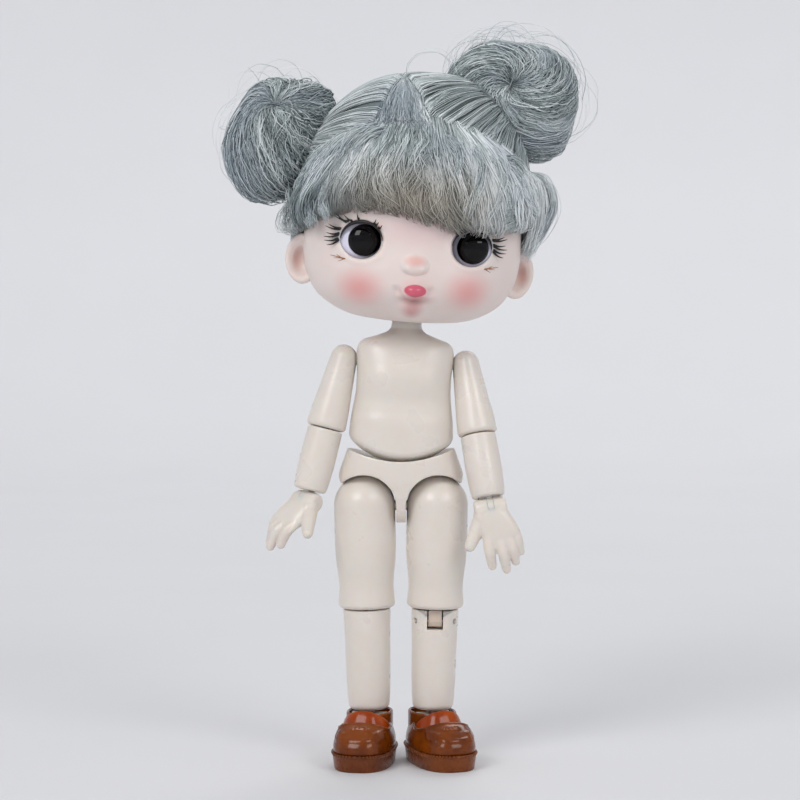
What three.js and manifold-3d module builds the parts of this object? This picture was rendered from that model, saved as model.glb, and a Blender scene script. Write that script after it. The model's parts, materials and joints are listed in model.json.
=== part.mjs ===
// A small ball jointed doll, standing on its shoes in the pose of the photograph.
// Lengths are millimetres and angles are degrees. +Z is up, the doll looks along -Y, and +X is on its own left.
// Each nested group is one joint: it turns about one of its own axes, and the pieces in it move with it.
import * as THREE from "three";
import { mergeVertices } from "three/addons/utils/BufferGeometryUtils.js";
import Module from "manifold-3d";

const wasm = await Module();
wasm.setup();

// Fits that all pieces share
const gap = 0.3; // running clearance, and the space between pieces that rest on each other
const overrun = 1.5; // how far a cut runs past the surface that it opens
const weld = 1e-4; // vertices closer than this are one vertex

// Facets round each kind of section
const facets = { limb: 14, tube: 16, joint: 8, ball: 12, pin: 6, torso: 18, cup: 28, hipRoom: 16, head: 20, bun: 10,
  feature: 6, eye: 12, finger: 5, sole: 16 };

// How the doll is posed at rest
const pose = { torsoLeanAngle: 2.9, headYawAngle: 3, headRollAngle: 1.4, legInwardAngle: 1.3 };
const sidePose = {
  r: {
    armForwardAngle: 7,
    armRaiseAngle: 11.5,
    elbowTurnAngle: 180,
    wristTurnAngle: -42,
    wristBendAngle: -30,
    kneeTurnAngle: 0,
    toeOutAngle: 11,
  },
  l: {
    armForwardAngle: 15,
    armRaiseAngle: 12,
    elbowTurnAngle: 180,
    wristTurnAngle: 0,
    wristBendAngle: 0,
    kneeTurnAngle: 180,
    toeOutAngle: 20,
  },
};

// Trunk
const torso = {
  shoulderHeight: 17.5, // the shoulder pivots over the waist ball
  topHalfWidth: 11.3,
  hemHalfWidth: 12.1,
  topHeight: 21.2,
  neckBaseHeight: 24.5,
  neckLength: 3.1,
  neckRadius: 3.4,
  halfDepth: 7.9,
  bottomDrop: 6.2, // the belly's lowest point under the waist ball
  bottomRadius: 16.2,
  wall: 1.6,
  squareness: 2.5,
};
const pelvis = {
  height: 17.6, // from the cup's rim to the crotch
  rimDrop: 2.4, // the cup's rim under the waist ball
  rimHalfWidth: 12,
  tipHalfWidth: 14.6,
  tipDrop: 9.6, // the outer tips under the waist ball
  frontDepth: 7.6,
  backDepth: 8.9,
  cupGap: 0.5,
  cupRadius: 21.6,
  squareness: 2.4,
  coverLift: 2.6, // the seat's lower edge over the hip centres
};
const waist = { ballRadius: 3, mouthRadius: 2.6, shell: 1.6, stemRadius: 1.5, tongueThickness: 1.6, tongueWidth: 2.6,
  pinRadius: 0.5, flangeRadius: 2.2, flangeHeight: 0.9, flangeDrop: 10.9 };
const neck = { ballLift: 4.2, ballRadius: 3.4, shell: 1.5, stemRadius: 1.5, tongueThickness: 1.6,
  tongueWidth: 3.2, pinRadius: 0.6, flangeRadius: 2.6, flangeHeight: 1.2, seatDepth: 5.5,
  socketFlangeRadius: 7.5, socketFlangeHeight: 1.4, holeRadius: 5.5 };

// Arms
const arm = {
  domeRadius: 3.1,
  domeHalfDepth: 3.6,
  upperLength: 16.9, // shoulder pivot to the elbow's rim
  midHalfWidth: 3.9,
  rimRadius: 4.6,
  foreLength: 14.9, // elbow's rim to the wrist's rim
  foreTopRadius: 4.1,
  foreMidRadius: 4.2,
  foreEndRadius: 3.85,
};
const shoulder = { pivotOut: 2.9, pegRadius: 1.5, bossRadius: 3, bossLength: 3, flangeRadius: 2.4, flangeHeight: 1,
  tongueRadius: 2.3, tongueThickness: 1.8, trunnionRadius: 0.7, trunnionReach: 2.6, raiseLimit: 94, dropLimit: 16 };
const elbow = { offset: 1.6, drop: 2.9, stemRadius: 1.5, stemLength: 6.5, collarRadius: 2.8, collarHeight: 1.2,
  tongueThickness: 2, tongueRadius: 1.3, pinRadius: 0.45 };
const wrist = { offset: 0, drop: 2.5, stemRadius: 1.2, stemLength: 4, collarRadius: 2.3, collarHeight: 0.9,
  tongueThickness: 1.4, tongueRadius: 1.1, pinRadius: 0.4, pinProud: 0.35 };
const hand = {
  stubHalfWidth: 3.4,
  domeRadius: 2.2,
  palmHalfWidth: 4,
  palmHalfDepth: 1.8,
  palmLength: 8.2, // wrist pin to the knuckles
  palmShift: 1.2, // the knuckles' middle, away from the thumb
  fingerRadius: 1.1,
  fingerTaperShare: 0.75,
  // root and tip of each finger as [away from the thumb, down, towards the palm] shares of the palm's length
  fingerShares: [
    [[-0.18, 0.36, 0.0], [-0.69, 1.05, 0.1]],
    [[-0.2, 0.86, 0.0], [-0.13, 1.72, 0.3]],
    [[0.1, 0.9, 0.0], [0.25, 1.88, 0.32]],
    [[0.36, 0.86, 0.0], [0.57, 1.71, 0.3]],
    [[0.54, 0.74, 0.0], [0.77, 1.36, 0.24]],
  ],
};

// Legs
const leg = {
  hipDrop: 16.1, // the hip centres under the waist ball
  hipHalfSpan: 8.5,
  thighLength: 23.9, // hip centre to the knee's rim
  domeRadius: 7.1,
  thighLowRadius: 6.4,
  rimRadius: 6.6,
  shinLength: 23.8, // knee's rim to the shin's end
  shinTopRadius: 5.5,
  shinMidRadius: 5.25,
  shinEndRadius: 4.8,
};
const hip = { axleRadius: 1.2, axleBeyond: 1.2, hubRadius: 2.6, hubHalfLength: 2.2, trunnionRadius: 1,
  trunnionReach: 5, spreadLimit: 47, inwardLimit: 5 };
const knee = { offset: 2.8, drop: 2.9, stemRadius: 2, stemLength: 9, collarRadius: 4, collarHeight: 1.6,
  tongueThickness: 3.1, tongueRadius: 1.5, pinRadius: 0.55 };
const ankle = { lift: 8.21, drop: 4, stemRadius: 1.5, stemLength: 6, collarRadius: 2.6, collarHeight: 1.1,
  tongueThickness: 2, tongueRadius: 1.6, trunnionRadius: 0.6, trunnionReach: 3.4 };
const shoe = {
  length: 26,
  halfWidth: 7.7,
  heelHalfWidth: 6.6,
  heelReach: 8.6, // the heel's back behind the ankle
  soleHeight: 3.9,
  collarHeight: 10.7, // over the floor
  tongueHeight: 12.3, // over the floor
  tongueThickness: 1,
  tongueHalfWidth: 4.2,
  wall: 1.3,
  weltWidth: 0.7,
  squareness: 2.5,
};
const foot = { ankleHalfWidth: 4, domeRadius: 3.3 };

// Head and hair
const head = {
  halfWidth: 25.2,
  frontDepth: 24,
  backDepth: 23.4,
  height: 54.6,
  chinDrop: 5.2, // the head's underside beneath the neck ball's centre
  wall: 2.4,
  splitBehind: 4.5, // the seam between face and back of the skull, behind the neck's axis
  earHalfWidth: 3.5,
  earHalfDepth: 2.2,
  earHalfHeight: 5.7,
  earLift: 9.4,
  earOut: 25,
  noseRadius: 2.2,
  noseLift: 8.2,
  lipRadius: 1.7,
  lipHalfWidth: 2.6,
  lipLift: 2.2,
};
// the head's outline from its underside to its crown: height, half width, depth in front and depth behind,
// each a share of the head's own size
const headOutlineShares = [
  [0, 0.26, 0.36, 0.36],
  [0.018, 0.5, 0.58, 0.54],
  [0.058, 0.72, 0.76, 0.68],
  [0.103, 0.85, 0.87, 0.78],
  [0.161, 0.93, 0.94, 0.86],
  [0.222, 0.98, 0.97, 0.92],
  [0.31, 1, 0.98, 0.97],
  [0.45, 0.99, 1, 1],
  [0.605, 0.93, 0.95, 0.94],
  [0.775, 0.79, 0.8, 0.8],
  [0.91, 0.56, 0.57, 0.57],
  [0.978, 0.3, 0.31, 0.31],
];
const eye = { halfSpacing: 12.4, lift: 12.6, openHalfWidth: 4.7, openHalfHeight: 4.3, ballRadius: 6, setBack: 1,
  ballBehind: 1.4, pupilRadius: 3.6, pupilDepth: 1.5, pupilBulge: 0.5, glance: 0.5 };
const hair = {
  thickness: 2.9, // of the cap over the skull
  fringeThickness: 4.6,
  fringeTop: 37.5, // over the neck ball
  fringeBottom: 16.5,
  fringeReach: -3, // the fringe's back edge along Y
  capFront: 3.2, // the cap's lower front edge along Y, behind the ears
  napeLift: 1, // the cap's lower edge over the neck ball
  templeLift: 15.6, // the cap's edge over the ears
};
const buns = {
  r: { centre: [-33, 4, 34.8], radii: [11.8, 12.5, 14] },
  l: { centre: [21.2, 4, 48.1], radii: [15, 13.5, 14.3] },
};
const bunTie = { ringRadius: 4.8, cordRadius: 0.8 };

const quarter = Math.PI / 2;
const degrees = Math.PI / 180;

// Places that follow from the pieces below and between
const shoulderHalfSpan = torso.topHalfWidth + shoulder.pivotOut;
const neckTop = torso.neckBaseHeight + torso.neckLength;
const neckBoreDepth = torso.neckLength + neck.seatDepth;
const neckBallHeight = neckTop + neck.ballLift; // over the waist ball
const legDrop = (leg.thighLength + leg.shinLength) * Math.cos(pose.legInwardAngle * degrees) + ankle.drop;
const waistHeight = ankle.lift + legDrop + leg.hipDrop; // the waist ball's centre over the floor

const skin = new THREE.MeshStandardMaterial({ color: 0xe3d3c6, roughness: 0.4, metalness: 0 });
const jointSkin = new THREE.MeshStandardMaterial({ color: 0xd9c4b5, roughness: 0.5, metalness: 0 });
const hairFibre = new THREE.MeshStandardMaterial({ color: 0x8f9a98, roughness: 0.6, metalness: 0 });
const tieRubber = new THREE.MeshStandardMaterial({ color: 0x6d7472, roughness: 0.8, metalness: 0 });
const eyeWhite = new THREE.MeshStandardMaterial({ color: 0xe6e4ea, roughness: 0.25, metalness: 0 });
const eyeBlack = new THREE.MeshStandardMaterial({ color: 0x090808, roughness: 0.08, metalness: 0 });
const shoeVinyl = new THREE.MeshStandardMaterial({ color: 0x7a3214, roughness: 0.25, metalness: 0 });
const soleVinyl = new THREE.MeshStandardMaterial({ color: 0x5b260f, roughness: 0.35, metalness: 0 });
const pinSteel = new THREE.MeshStandardMaterial({ color: 0xcfc6bf, roughness: 0.35, metalness: 0 });

// Closed mesh to solid: vertices are welded and flat triangles dropped, and faces are turned to point out.
function solidOf(shape) {
  const bare = shape.index ? shape.toNonIndexed() : shape.clone();
  bare.deleteAttribute("normal");
  bare.deleteAttribute("uv");
  const merged = mergeVertices(bare, weld);
  const corners = [];
  const index = merged.index.array;
  for (let i = 0; i < index.length; i += 3) {
    const [a, b, c] = [index[i], index[i + 1], index[i + 2]];
    if (a !== b && b !== c && c !== a) corners.push(a, b, c);
  }
  const vertProperties = merged.attributes.position.array;
  const build = (list) =>
    new wasm.Manifold(new wasm.Mesh({ numProp: 3, vertProperties, triVerts: new Uint32Array(list) }));
  const made = build(corners);
  return made.volume() > 0 ? made : build(corners.reverse());
}

const asSolid = (shape) => (shape.isBufferGeometry ? solidOf(shape) : shape);

function join(...shapes) {
  return shapes.map(asSolid).reduce((sum, shape) => sum.add(shape));
}

function cut(shape, ...tools) {
  return tools.map(asSolid).reduce((rest, tool) => rest.subtract(tool), asSolid(shape));
}

function common(shape, ...others) {
  return others.map(asSolid).reduce((rest, other) => rest.intersect(other), asSolid(shape));
}

function geometryOf(solid) {
  const mesh = solid.getMesh();
  const shape = new THREE.BufferGeometry();
  shape.setAttribute("position", new THREE.BufferAttribute(mesh.vertProperties, 3));
  shape.setIndex(new THREE.BufferAttribute(mesh.triVerts, 1));
  const flat = shape.toNonIndexed();
  flat.computeVertexNormals();
  return flat;
}

// A round bar along one axis, between two places on it.
function bar(axis, radius, from, to, sides = facets.pin) {
  const shape = new THREE.CylinderGeometry(radius, radius, to - from, sides);
  shape.translate(0, (from + to) / 2, 0);
  if (axis === "x") shape.rotateZ(-quarter);
  if (axis === "z") shape.rotateX(quarter);
  return shape;
}

function block(low, high) {
  const size = high.map((value, i) => value - low[i]);
  const middle = high.map((value, i) => (value + low[i]) / 2);
  return new THREE.BoxGeometry(...size).translate(...middle);
}

function globe(radius, sides) {
  return new THREE.SphereGeometry(radius, sides, Math.round(sides / 2)).rotateX(quarter);
}

// A turned solid about Z from [radius, height] pairs that start and end on the axis.
function turned(profile, sides) {
  const points = profile.map(([radius, height]) => new THREE.Vector2(radius, height));
  return new THREE.LatheGeometry(points, sides).rotateX(quarter);
}

// An outline of [x, z] points, thickened evenly to both sides of the plane y = 0.
function plateAcrossY(outline, halfThickness) {
  const shape = new THREE.Shape(outline.map(([x, z]) => new THREE.Vector2(x, z)));
  const slab = new THREE.ExtrudeGeometry(shape, { depth: 2 * halfThickness, bevelEnabled: false });
  return slab.translate(0, 0, -halfThickness).rotateX(quarter);
}

// A ring of points about the Z axis: a superellipse whose front and back half may differ in depth.
function ringAt(height, halfWidth, front, back, power, sides, shiftX = 0, shiftY = 0) {
  const points = [];
  for (let i = 0; i < sides; i++) {
    const angle = (2 * Math.PI * i) / sides;
    const [c, s] = [Math.cos(angle), Math.sin(angle)];
    const x = halfWidth * Math.sign(c) * Math.abs(c) ** (2 / power);
    const y = (s < 0 ? front : back) * Math.sign(s) * Math.abs(s) ** (2 / power);
    points.push([x + shiftX, y + shiftY, height]);
  }
  return points;
}

// A closed skin over rings of equally many points, with a fan over each end ring.
function loft(rings) {
  const sides = rings[0].length;
  const middle = (ring) => [0, 1, 2].map((k) => ring.reduce((sum, point) => sum + point[k], 0) / sides);
  const points = [...rings.flat(), middle(rings[0]), middle(rings[rings.length - 1])];
  const [first, last] = [points.length - 2, points.length - 1];
  const index = [];
  for (let i = 0; i < sides; i++) {
    const next = (i + 1) % sides;
    index.push(first, next, i);
    const top = (rings.length - 1) * sides;
    index.push(last, top + i, top + next);
    for (let r = 0; r + 1 < rings.length; r++) {
      const [low, high] = [r * sides, (r + 1) * sides];
      index.push(low + i, low + next, high + next, low + i, high + next, high + i);
    }
  }
  const shape = new THREE.BufferGeometry();
  shape.setAttribute("position", new THREE.Float32BufferAttribute(points.flat(), 3));
  shape.setIndex(index);
  return shape;
}

// Where a ray from one point first meets a closed shape: the place, and the way that its face looks.
function meet(shape, from, direction) {
  const target = new THREE.Mesh(shape, new THREE.MeshBasicMaterial({ side: THREE.DoubleSide }));
  const ray = new THREE.Raycaster(new THREE.Vector3(...from), new THREE.Vector3(...direction).normalize());
  const hit = ray.intersectObject(target)[0];
  return { place: hit.point, outward: hit.face.normal };
}

// The scene graph's two building stones: a joint, which is a group turned about one axis, and a piece.
function joint(parent, name, axis, place, restAngle) {
  const group = new THREE.Group();
  group.name = name;
  group.userData.axis = axis;
  group.position.set(...place);
  group.rotation[axis] = restAngle * degrees;
  parent.add(group);
  return group;
}

function piece(body, name, solid, material) {
  const mesh = new THREE.Mesh(geometryOf(solid), material);
  mesh.name = name;
  body.add(mesh);
  return mesh;
}

// A split shell's two halves leave half of the gap each at the plane y = seam.
function halves(solid, seam, reach) {
  const slab = (from, to) => block([-reach, from, -reach], [reach, to, reach]);
  return {
    front: common(solid, slab(-reach, seam - gap / 2)),
    back: common(solid, slab(seam + gap / 2, reach)),
  };
}

// Post and ball that carry the neck and the waist. The post's tongue stands in the ball's slot, on its pin.
function tonguedPost(size, ballCentre, flangeTop, shoulderDrop) {
  const foot = ballCentre - shoulderDrop + gap;
  const stem = bar("z", size.stemRadius, flangeTop - size.flangeHeight, foot + gap, facets.joint);
  const flange = bar("z", size.flangeRadius, flangeTop - size.flangeHeight, flangeTop, facets.joint);
  const [half, wide] = [size.tongueThickness / 2, size.tongueWidth / 2];
  const tongue = block([-half, -wide, foot], [half, wide, ballCentre]);
  const crown = bar("x", wide, -half, half, facets.joint).translate(0, 0, ballCentre);
  const hole = bar("x", size.pinRadius + gap, -half - overrun, half + overrun).translate(0, 0, ballCentre);
  return cut(join(stem, flange, tongue, crown), hole);
}

function slottedBall(size) {
  const half = size.tongueThickness / 2 + gap;
  const radius = size.ballRadius;
  const slot = block([-half, -radius - overrun, -radius - overrun], [half, radius + overrun, 0]);
  const crown = bar("x", size.tongueWidth / 2 + gap, -half, half, facets.joint);
  const pin = bar("x", size.pinRadius, -half - gap, half + gap);
  return join(cut(globe(radius, facets.ball), slot, crown), pin);
}

// Torso
function torsoLoft(inset) {
  const size = torso;
  const shoulderDepth = size.halfDepth - 0.6 * size.wall;
  const rows = [
    [-size.bottomDrop - overrun + inset, size.hemHalfWidth, size.halfDepth],
    [0, size.hemHalfWidth, size.halfDepth],
    [size.shoulderHeight * 0.45, 0.93 * size.hemHalfWidth, size.halfDepth],
    [size.shoulderHeight * 0.8, 0.97 * size.topHalfWidth, shoulderDepth],
    [size.shoulderHeight * 1.1, size.topHalfWidth, shoulderDepth - size.wall / 2],
    [size.topHeight, 0.94 * size.topHalfWidth, shoulderDepth - size.wall],
    [size.topHeight + (size.neckBaseHeight - size.topHeight) / 2, 0.7 * size.topHalfWidth, 0.66 * shoulderDepth],
    [size.neckBaseHeight, 1.08 * size.neckRadius, 1.08 * size.neckRadius],
  ];
  const last = rows.length - 1;
  return loft(
    rows.map(([height, halfWidth, depth], i) => {
      const power = i < last ? size.squareness : 2;
      const lift = i < last ? 0 : -inset;
      return ringAt(height + lift, halfWidth - inset, depth - inset, depth - inset, power, facets.torso);
    }),
  );
}

// The belly's underside is part of a ball, and the pelvis is hollowed to a wider one.
function underBall(radius, bottom, halfWidth, sides) {
  const ball = globe(radius, sides).translate(0, 0, bottom + radius);
  const below = block([-halfWidth, -halfWidth, bottom - halfWidth], [halfWidth, halfWidth, bottom + radius]);
  return cut(below, ball);
}

function makeTorso(body) {
  const reach = 2 * neckTop;
  const neckBar = bar("z", torso.neckRadius, 0, neckTop, facets.limb);
  const bellyCut = (bottom) => underBall(torso.bottomRadius, bottom, 2 * torso.hemHalfWidth, facets.cup);
  const outside = join(cut(torsoLoft(0), bellyCut(-torso.bottomDrop)), common(neckBar, neckBand()));
  const hollow = cut(torsoLoft(torso.wall), bellyCut(-torso.bottomDrop + torso.wall));
  const solid = cut(outside, cut(hollow, ...torsoBosses()), ...torsoBores());
  const half = halves(solid, 0, reach);
  piece(body, "torso_front", half.front, skin);
  piece(body, "torso_back", half.back, skin);
}

function neckBand() {
  const side = 2 * torso.neckRadius;
  return block([-side, -side, torso.neckBaseHeight - torso.wall], [side, side, neckTop]);
}

function torsoBosses() {
  const innerSide = torso.topHalfWidth - torso.wall;
  const shoulderBoss = bar("x", shoulder.bossRadius, innerSide - shoulder.bossLength, torso.topHalfWidth);
  shoulderBoss.translate(0, 0, torso.shoulderHeight);
  const neckBoss = bar("z", torso.neckRadius, neckTop - neckBoreDepth, neckTop, facets.limb);
  const socketRadius = waist.ballRadius + gap + waist.shell;
  const waistBoss = join(
    globe(socketRadius, facets.joint),
    bar("z", socketRadius, -torso.bottomDrop - overrun, 0, facets.joint),
  );
  return [shoulderBoss, shoulderBoss.clone().rotateZ(2 * quarter), neckBoss, waistBoss];
}

function torsoBores() {
  const pegReach = torso.hemHalfWidth + overrun;
  const peg = bar("x", shoulder.pegRadius + gap, -pegReach, pegReach, facets.joint);
  const neckBottom = neckTop - neckBoreDepth;
  const domeSeat = (side) =>
    globe(arm.domeHalfDepth + gap, facets.ball)
      .scale((arm.domeRadius + gap) / (arm.domeHalfDepth + gap), 1, 1)
      .translate(side * shoulderHalfSpan, 0, torso.shoulderHeight);
  return [
    peg.translate(0, 0, torso.shoulderHeight),
    bar("z", neck.stemRadius + gap, neckBottom - overrun, neckTop + overrun, facets.joint),
    globe(waist.ballRadius + gap, facets.ball),
    bar("z", waist.mouthRadius, -torso.bottomDrop - overrun, 0, facets.joint),
    domeSeat(1),
    domeSeat(-1),
  ];
}

// Pelvis, in the waist ball's frame
function pelvisBlank() {
  const size = pelvis;
  const bottom = -size.rimDrop - size.height;
  const rows = [
    [bottom, 0.17, 0.3, 0.3],
    [bottom + 0.06 * size.height, 0.34, 0.62, 0.55],
    [bottom + 0.22 * size.height, 0.6, 0.85, 0.8],
    [bottom + 0.42 * size.height, 0.9, 0.96, 0.97],
    [-size.tipDrop, 1, 1, 1],
    [-size.tipDrop / 2, 0.9, 0.97, 0.95],
    [-size.rimDrop + overrun, size.rimHalfWidth / size.tipHalfWidth, 0.9, 0.86],
  ];
  return loft(
    rows.map(([height, width, front, back]) =>
      ringAt(height, width * size.tipHalfWidth, front * size.frontDepth, back * size.backDepth,
        size.squareness, facets.torso),
    ),
  );
}

// Room for a thigh: a ball about the hip, open to the front, the side and below, and covered behind.
function hipRoom(side) {
  const radius = leg.domeRadius + gap;
  const depth = 2 * pelvis.backDepth;
  const ball = globe(radius, facets.hipRoom);
  const front = bar("y", radius, -depth, 0, facets.hipRoom);
  const below = block([-radius, -depth, -depth], [radius, 0, 0]);
  const behind = block([-radius, -overrun, -depth], [radius, depth, pelvis.coverLift]);
  const outer = block([0, -depth, -depth], [depth, depth, pelvis.coverLift]);
  const parts = [ball, front, below, behind, outer.scale(side, 1, 1)];
  return join(...parts.map((shape) => shape.translate(side * leg.hipHalfSpan, 0, -leg.hipDrop)));
}

function makePelvis(body) {
  const size = waist;
  const reach = 2 * (pelvis.rimDrop + pelvis.height);
  const cupBottom = -torso.bottomDrop - pelvis.cupGap;
  const cup = globe(pelvis.cupRadius, facets.cup).translate(0, 0, cupBottom + pelvis.cupRadius);
  const flangeRoom = bar("z", size.flangeRadius + gap, -size.flangeDrop - gap,
    -size.flangeDrop + size.flangeHeight + gap, facets.joint);
  const stemBore = bar("z", size.stemRadius + gap, -size.flangeDrop, 0, facets.joint);
  const axleBore = bar("x", hip.axleRadius + gap, -pelvis.tipHalfWidth, pelvis.tipHalfWidth);
  axleBore.translate(0, 0, -leg.hipDrop);
  const solid = cut(pelvisBlank(), cup, hipRoom(1), hipRoom(-1), flangeRoom, stemBore, axleBore);
  const half = halves(solid, 0, reach);
  piece(body, "pelvis_front", half.front, skin);
  piece(body, "pelvis_back", half.back, skin);
  const end = leg.hipHalfSpan + hip.axleBeyond;
  piece(body, "hip_axle", asSolid(bar("x", hip.axleRadius, -end, end).translate(0, 0, -leg.hipDrop)), pinSteel);
}

// A sector of room about Y for what turns through it, from the inner side towards the top.
function sweepRoom(inner, up, down, halfHeight, reach, halfThickness) {
  const at = (angle, ahead, left) => {
    const [c, s] = [Math.cos(angle * degrees), Math.sin(angle * degrees)];
    return [ahead * c - left * s, ahead * s + left * c];
  };
  const [low, high] = [180 - up, 180 + down];
  const points = [at(low, 0, -halfHeight), at(low, reach, -halfHeight)];
  const steps = 4;
  for (let i = 0; i <= steps; i++) points.push(at(low + ((high - low) * i) / steps, 1.2 * reach, 0));
  points.push(at(high, reach, halfHeight), at(high, 0, halfHeight));
  return plateAcrossY(points.map(([x, z]) => [-inner * x, z]), halfThickness);
}

// Connectors that turn in a limb's end and carry the next limb on a tongue
function connector(size, bendSide) {
  const half = size.tongueThickness / 2;
  const pivotY = bendSide * size.offset;
  const wide = [pivotY - size.tongueRadius, pivotY + size.tongueRadius, -size.stemRadius, size.stemRadius];
  const collar = bar("z", size.collarRadius, 0, size.collarHeight, facets.joint);
  const stem = bar("z", size.stemRadius, 0, size.stemLength, facets.joint);
  const plate = block([-half, Math.min(...wide), -size.drop], [half, Math.max(...wide), -gap]);
  const root = block([-half, -size.stemRadius, -size.drop], [half, size.stemRadius, size.collarHeight / 2]);
  const eyeRound = bar("x", size.tongueRadius, -half, half, facets.joint).translate(0, pivotY, -size.drop);
  return join(collar, stem, root, plate, eyeRound);
}

function pinHole(size, bendSide, halfLength, drop) {
  return bar("x", size.pinRadius + gap, -halfLength, halfLength).translate(0, bendSide * size.offset, drop);
}

// The flats of a bore clear whatever turns in it, not only the bore's corners.
const boreRadius = (radius) => (radius + gap) / Math.cos(Math.PI / facets.joint);

function connectorBore(size, rimHeight) {
  return [
    bar("z", boreRadius(size.collarRadius), rimHeight - overrun, rimHeight + size.collarHeight + gap, facets.joint),
    bar("z", boreRadius(size.stemRadius), rimHeight, rimHeight + size.stemLength + gap, facets.joint),
  ];
}

// The slot in a limb's top, in the frame of its hinge: room for the tongue from straight to bent.
function tongueSlot(size, bendSide, reach) {
  const half = size.tongueThickness / 2 + gap;
  const farSide = -bendSide * (size.stemRadius + gap) - bendSide * size.offset;
  const [low, high] = [Math.min(farSide, bendSide * reach), Math.max(farSide, bendSide * reach)];
  return block([-half, low, -size.tongueRadius - gap], [half, high, reach]);
}

// A limb's top edge on the bend side is round about the hinge, so that it passes the sleeve above it.
function bendRounding(size, bendSide, radius) {
  const reach = 2 * radius;
  const crown = size.drop - gap;
  const corner = block([-reach, Math.min(0, bendSide * reach), 0], [reach, Math.max(0, bendSide * reach), reach]);
  return cut(corner, bar("x", crown, -reach - overrun, reach + overrun, 2 * facets.joint));
}

// Arms
function makeShoulderJoint(body, side) {
  const inner = -side;
  const size = shoulder;
  const bossEnd = torso.topHalfWidth - torso.wall - size.bossLength;
  const flangeFar = shoulderHalfSpan - bossEnd + gap + size.flangeHeight;
  const seat = shoulderHalfSpan - torso.topHalfWidth - gap;
  const disc = bar("y", size.tongueRadius, -size.tongueThickness / 2, size.tongueThickness / 2, facets.joint);
  const along = (radius, from, to) =>
    bar("x", radius, Math.min(inner * from, inner * to), Math.max(inner * from, inner * to), facets.joint);
  const webHalf = size.pegRadius - gap;
  const web = block(
    [Math.min(0, inner * (seat + 2 * gap)), -size.tongueThickness / 2, -webHalf],
    [Math.max(0, inner * (seat + 2 * gap)), size.tongueThickness / 2, webHalf],
  );
  const peg = along(size.pegRadius, seat + gap, flangeFar);
  const flange = along(size.flangeRadius, flangeFar - size.flangeHeight, flangeFar);
  const trunnion = bar("y", size.trunnionRadius, -size.trunnionReach, size.trunnionReach);
  piece(body, "shoulder_joint_" + (side > 0 ? "l" : "r"), join(disc, web, peg, flange, trunnion), jointSkin);
}

function makeUpperArm(body, side, tag) {
  const rim = -arm.upperLength;
  const dome = globe(arm.domeHalfDepth, facets.limb).scale(arm.domeRadius / arm.domeHalfDepth, 1,
    arm.domeRadius / arm.domeHalfDepth);
  const [top, low] = [arm.domeRadius, arm.domeHalfDepth];
  const rows = [
    [rim, arm.rimRadius, arm.rimRadius],
    [0.94 * rim, arm.rimRadius, arm.rimRadius],
    [0.5 * rim, arm.midHalfWidth, (low + arm.rimRadius) / 2],
    [0.2 * rim, (top + arm.midHalfWidth) / 2, low],
    [0, top, low],
  ];
  const shaft = loft(rows.map(([z, x, y]) => ringAt(z, x, y, y, 2, facets.limb)));
  const half = shoulder.tongueThickness / 2 + gap;
  const reach = arm.upperLength / 2;
  const tools = [
    bar("y", shoulder.tongueRadius + gap, -half, half, facets.joint),
    sweepRoom(-side, shoulder.raiseLimit, shoulder.dropLimit, shoulder.pegRadius + gap, reach, half),
    bar("y", shoulder.trunnionRadius + gap, -shoulder.trunnionReach - gap, shoulder.trunnionReach + gap),
    ...connectorBore(elbow, rim),
  ];
  piece(body, "upper_arm_" + tag, cut(join(shaft, dome), ...tools), skin);
}

function makeForearm(body, bendSide, tag) {
  const [top, rim] = [elbow.drop - gap, elbow.drop - arm.foreLength];
  const shift = -bendSide * elbow.offset;
  const rows = [
    [rim, arm.foreEndRadius],
    [rim + 0.08 * arm.foreLength, arm.foreEndRadius * 1.02],
    [rim + 0.45 * arm.foreLength, arm.foreMidRadius],
    [top, arm.foreTopRadius],
  ];
  const shaft = loft(rows.map(([z, r]) => ringAt(z, r, r, r, 2, facets.limb, 0, shift)));
  const bore = connectorBore(wrist, rim).map((tool) => tool.translate(0, shift, 0));
  const solid = cut(shaft, tongueSlot(elbow, bendSide, 2 * arm.rimRadius),
    bendRounding(elbow, bendSide, arm.rimRadius), hingeHole(elbow, arm.foreTopRadius), ...bore);
  piece(body, "forearm_" + tag, solid, skin);
  piece(body, "elbow_pin_" + tag, hingePin(elbow, arm.foreTopRadius, 0), pinSteel);
}

function hingeHole(size, radius) {
  return bar("x", size.pinRadius + gap, -radius - overrun, radius + overrun);
}

function hingePin(size, radius, proud) {
  const half = Math.sqrt(radius ** 2 - size.offset ** 2) - gap / 2 + proud;
  return asSolid(bar("x", size.pinRadius, -half, half));
}

// One finger is a tapered round bar with a round tip, between two places.
function finger(from, to, radius) {
  const [start, end] = [new THREE.Vector3(...from), new THREE.Vector3(...to)];
  const length = start.distanceTo(end);
  const tip = radius * hand.fingerTaperShare;
  const profile = [[0, 0], [radius, 0], [(radius + tip) / 2, 0.55 * length], [tip, length - tip],
    [0.7 * tip, length - 0.3 * tip], [0, length]];
  const turn = new THREE.Quaternion().setFromUnitVectors(new THREE.Vector3(0, 0, 1),
    end.clone().sub(start).normalize());
  return turned(profile, facets.finger).applyQuaternion(turn).translate(...start.toArray());
}

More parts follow.
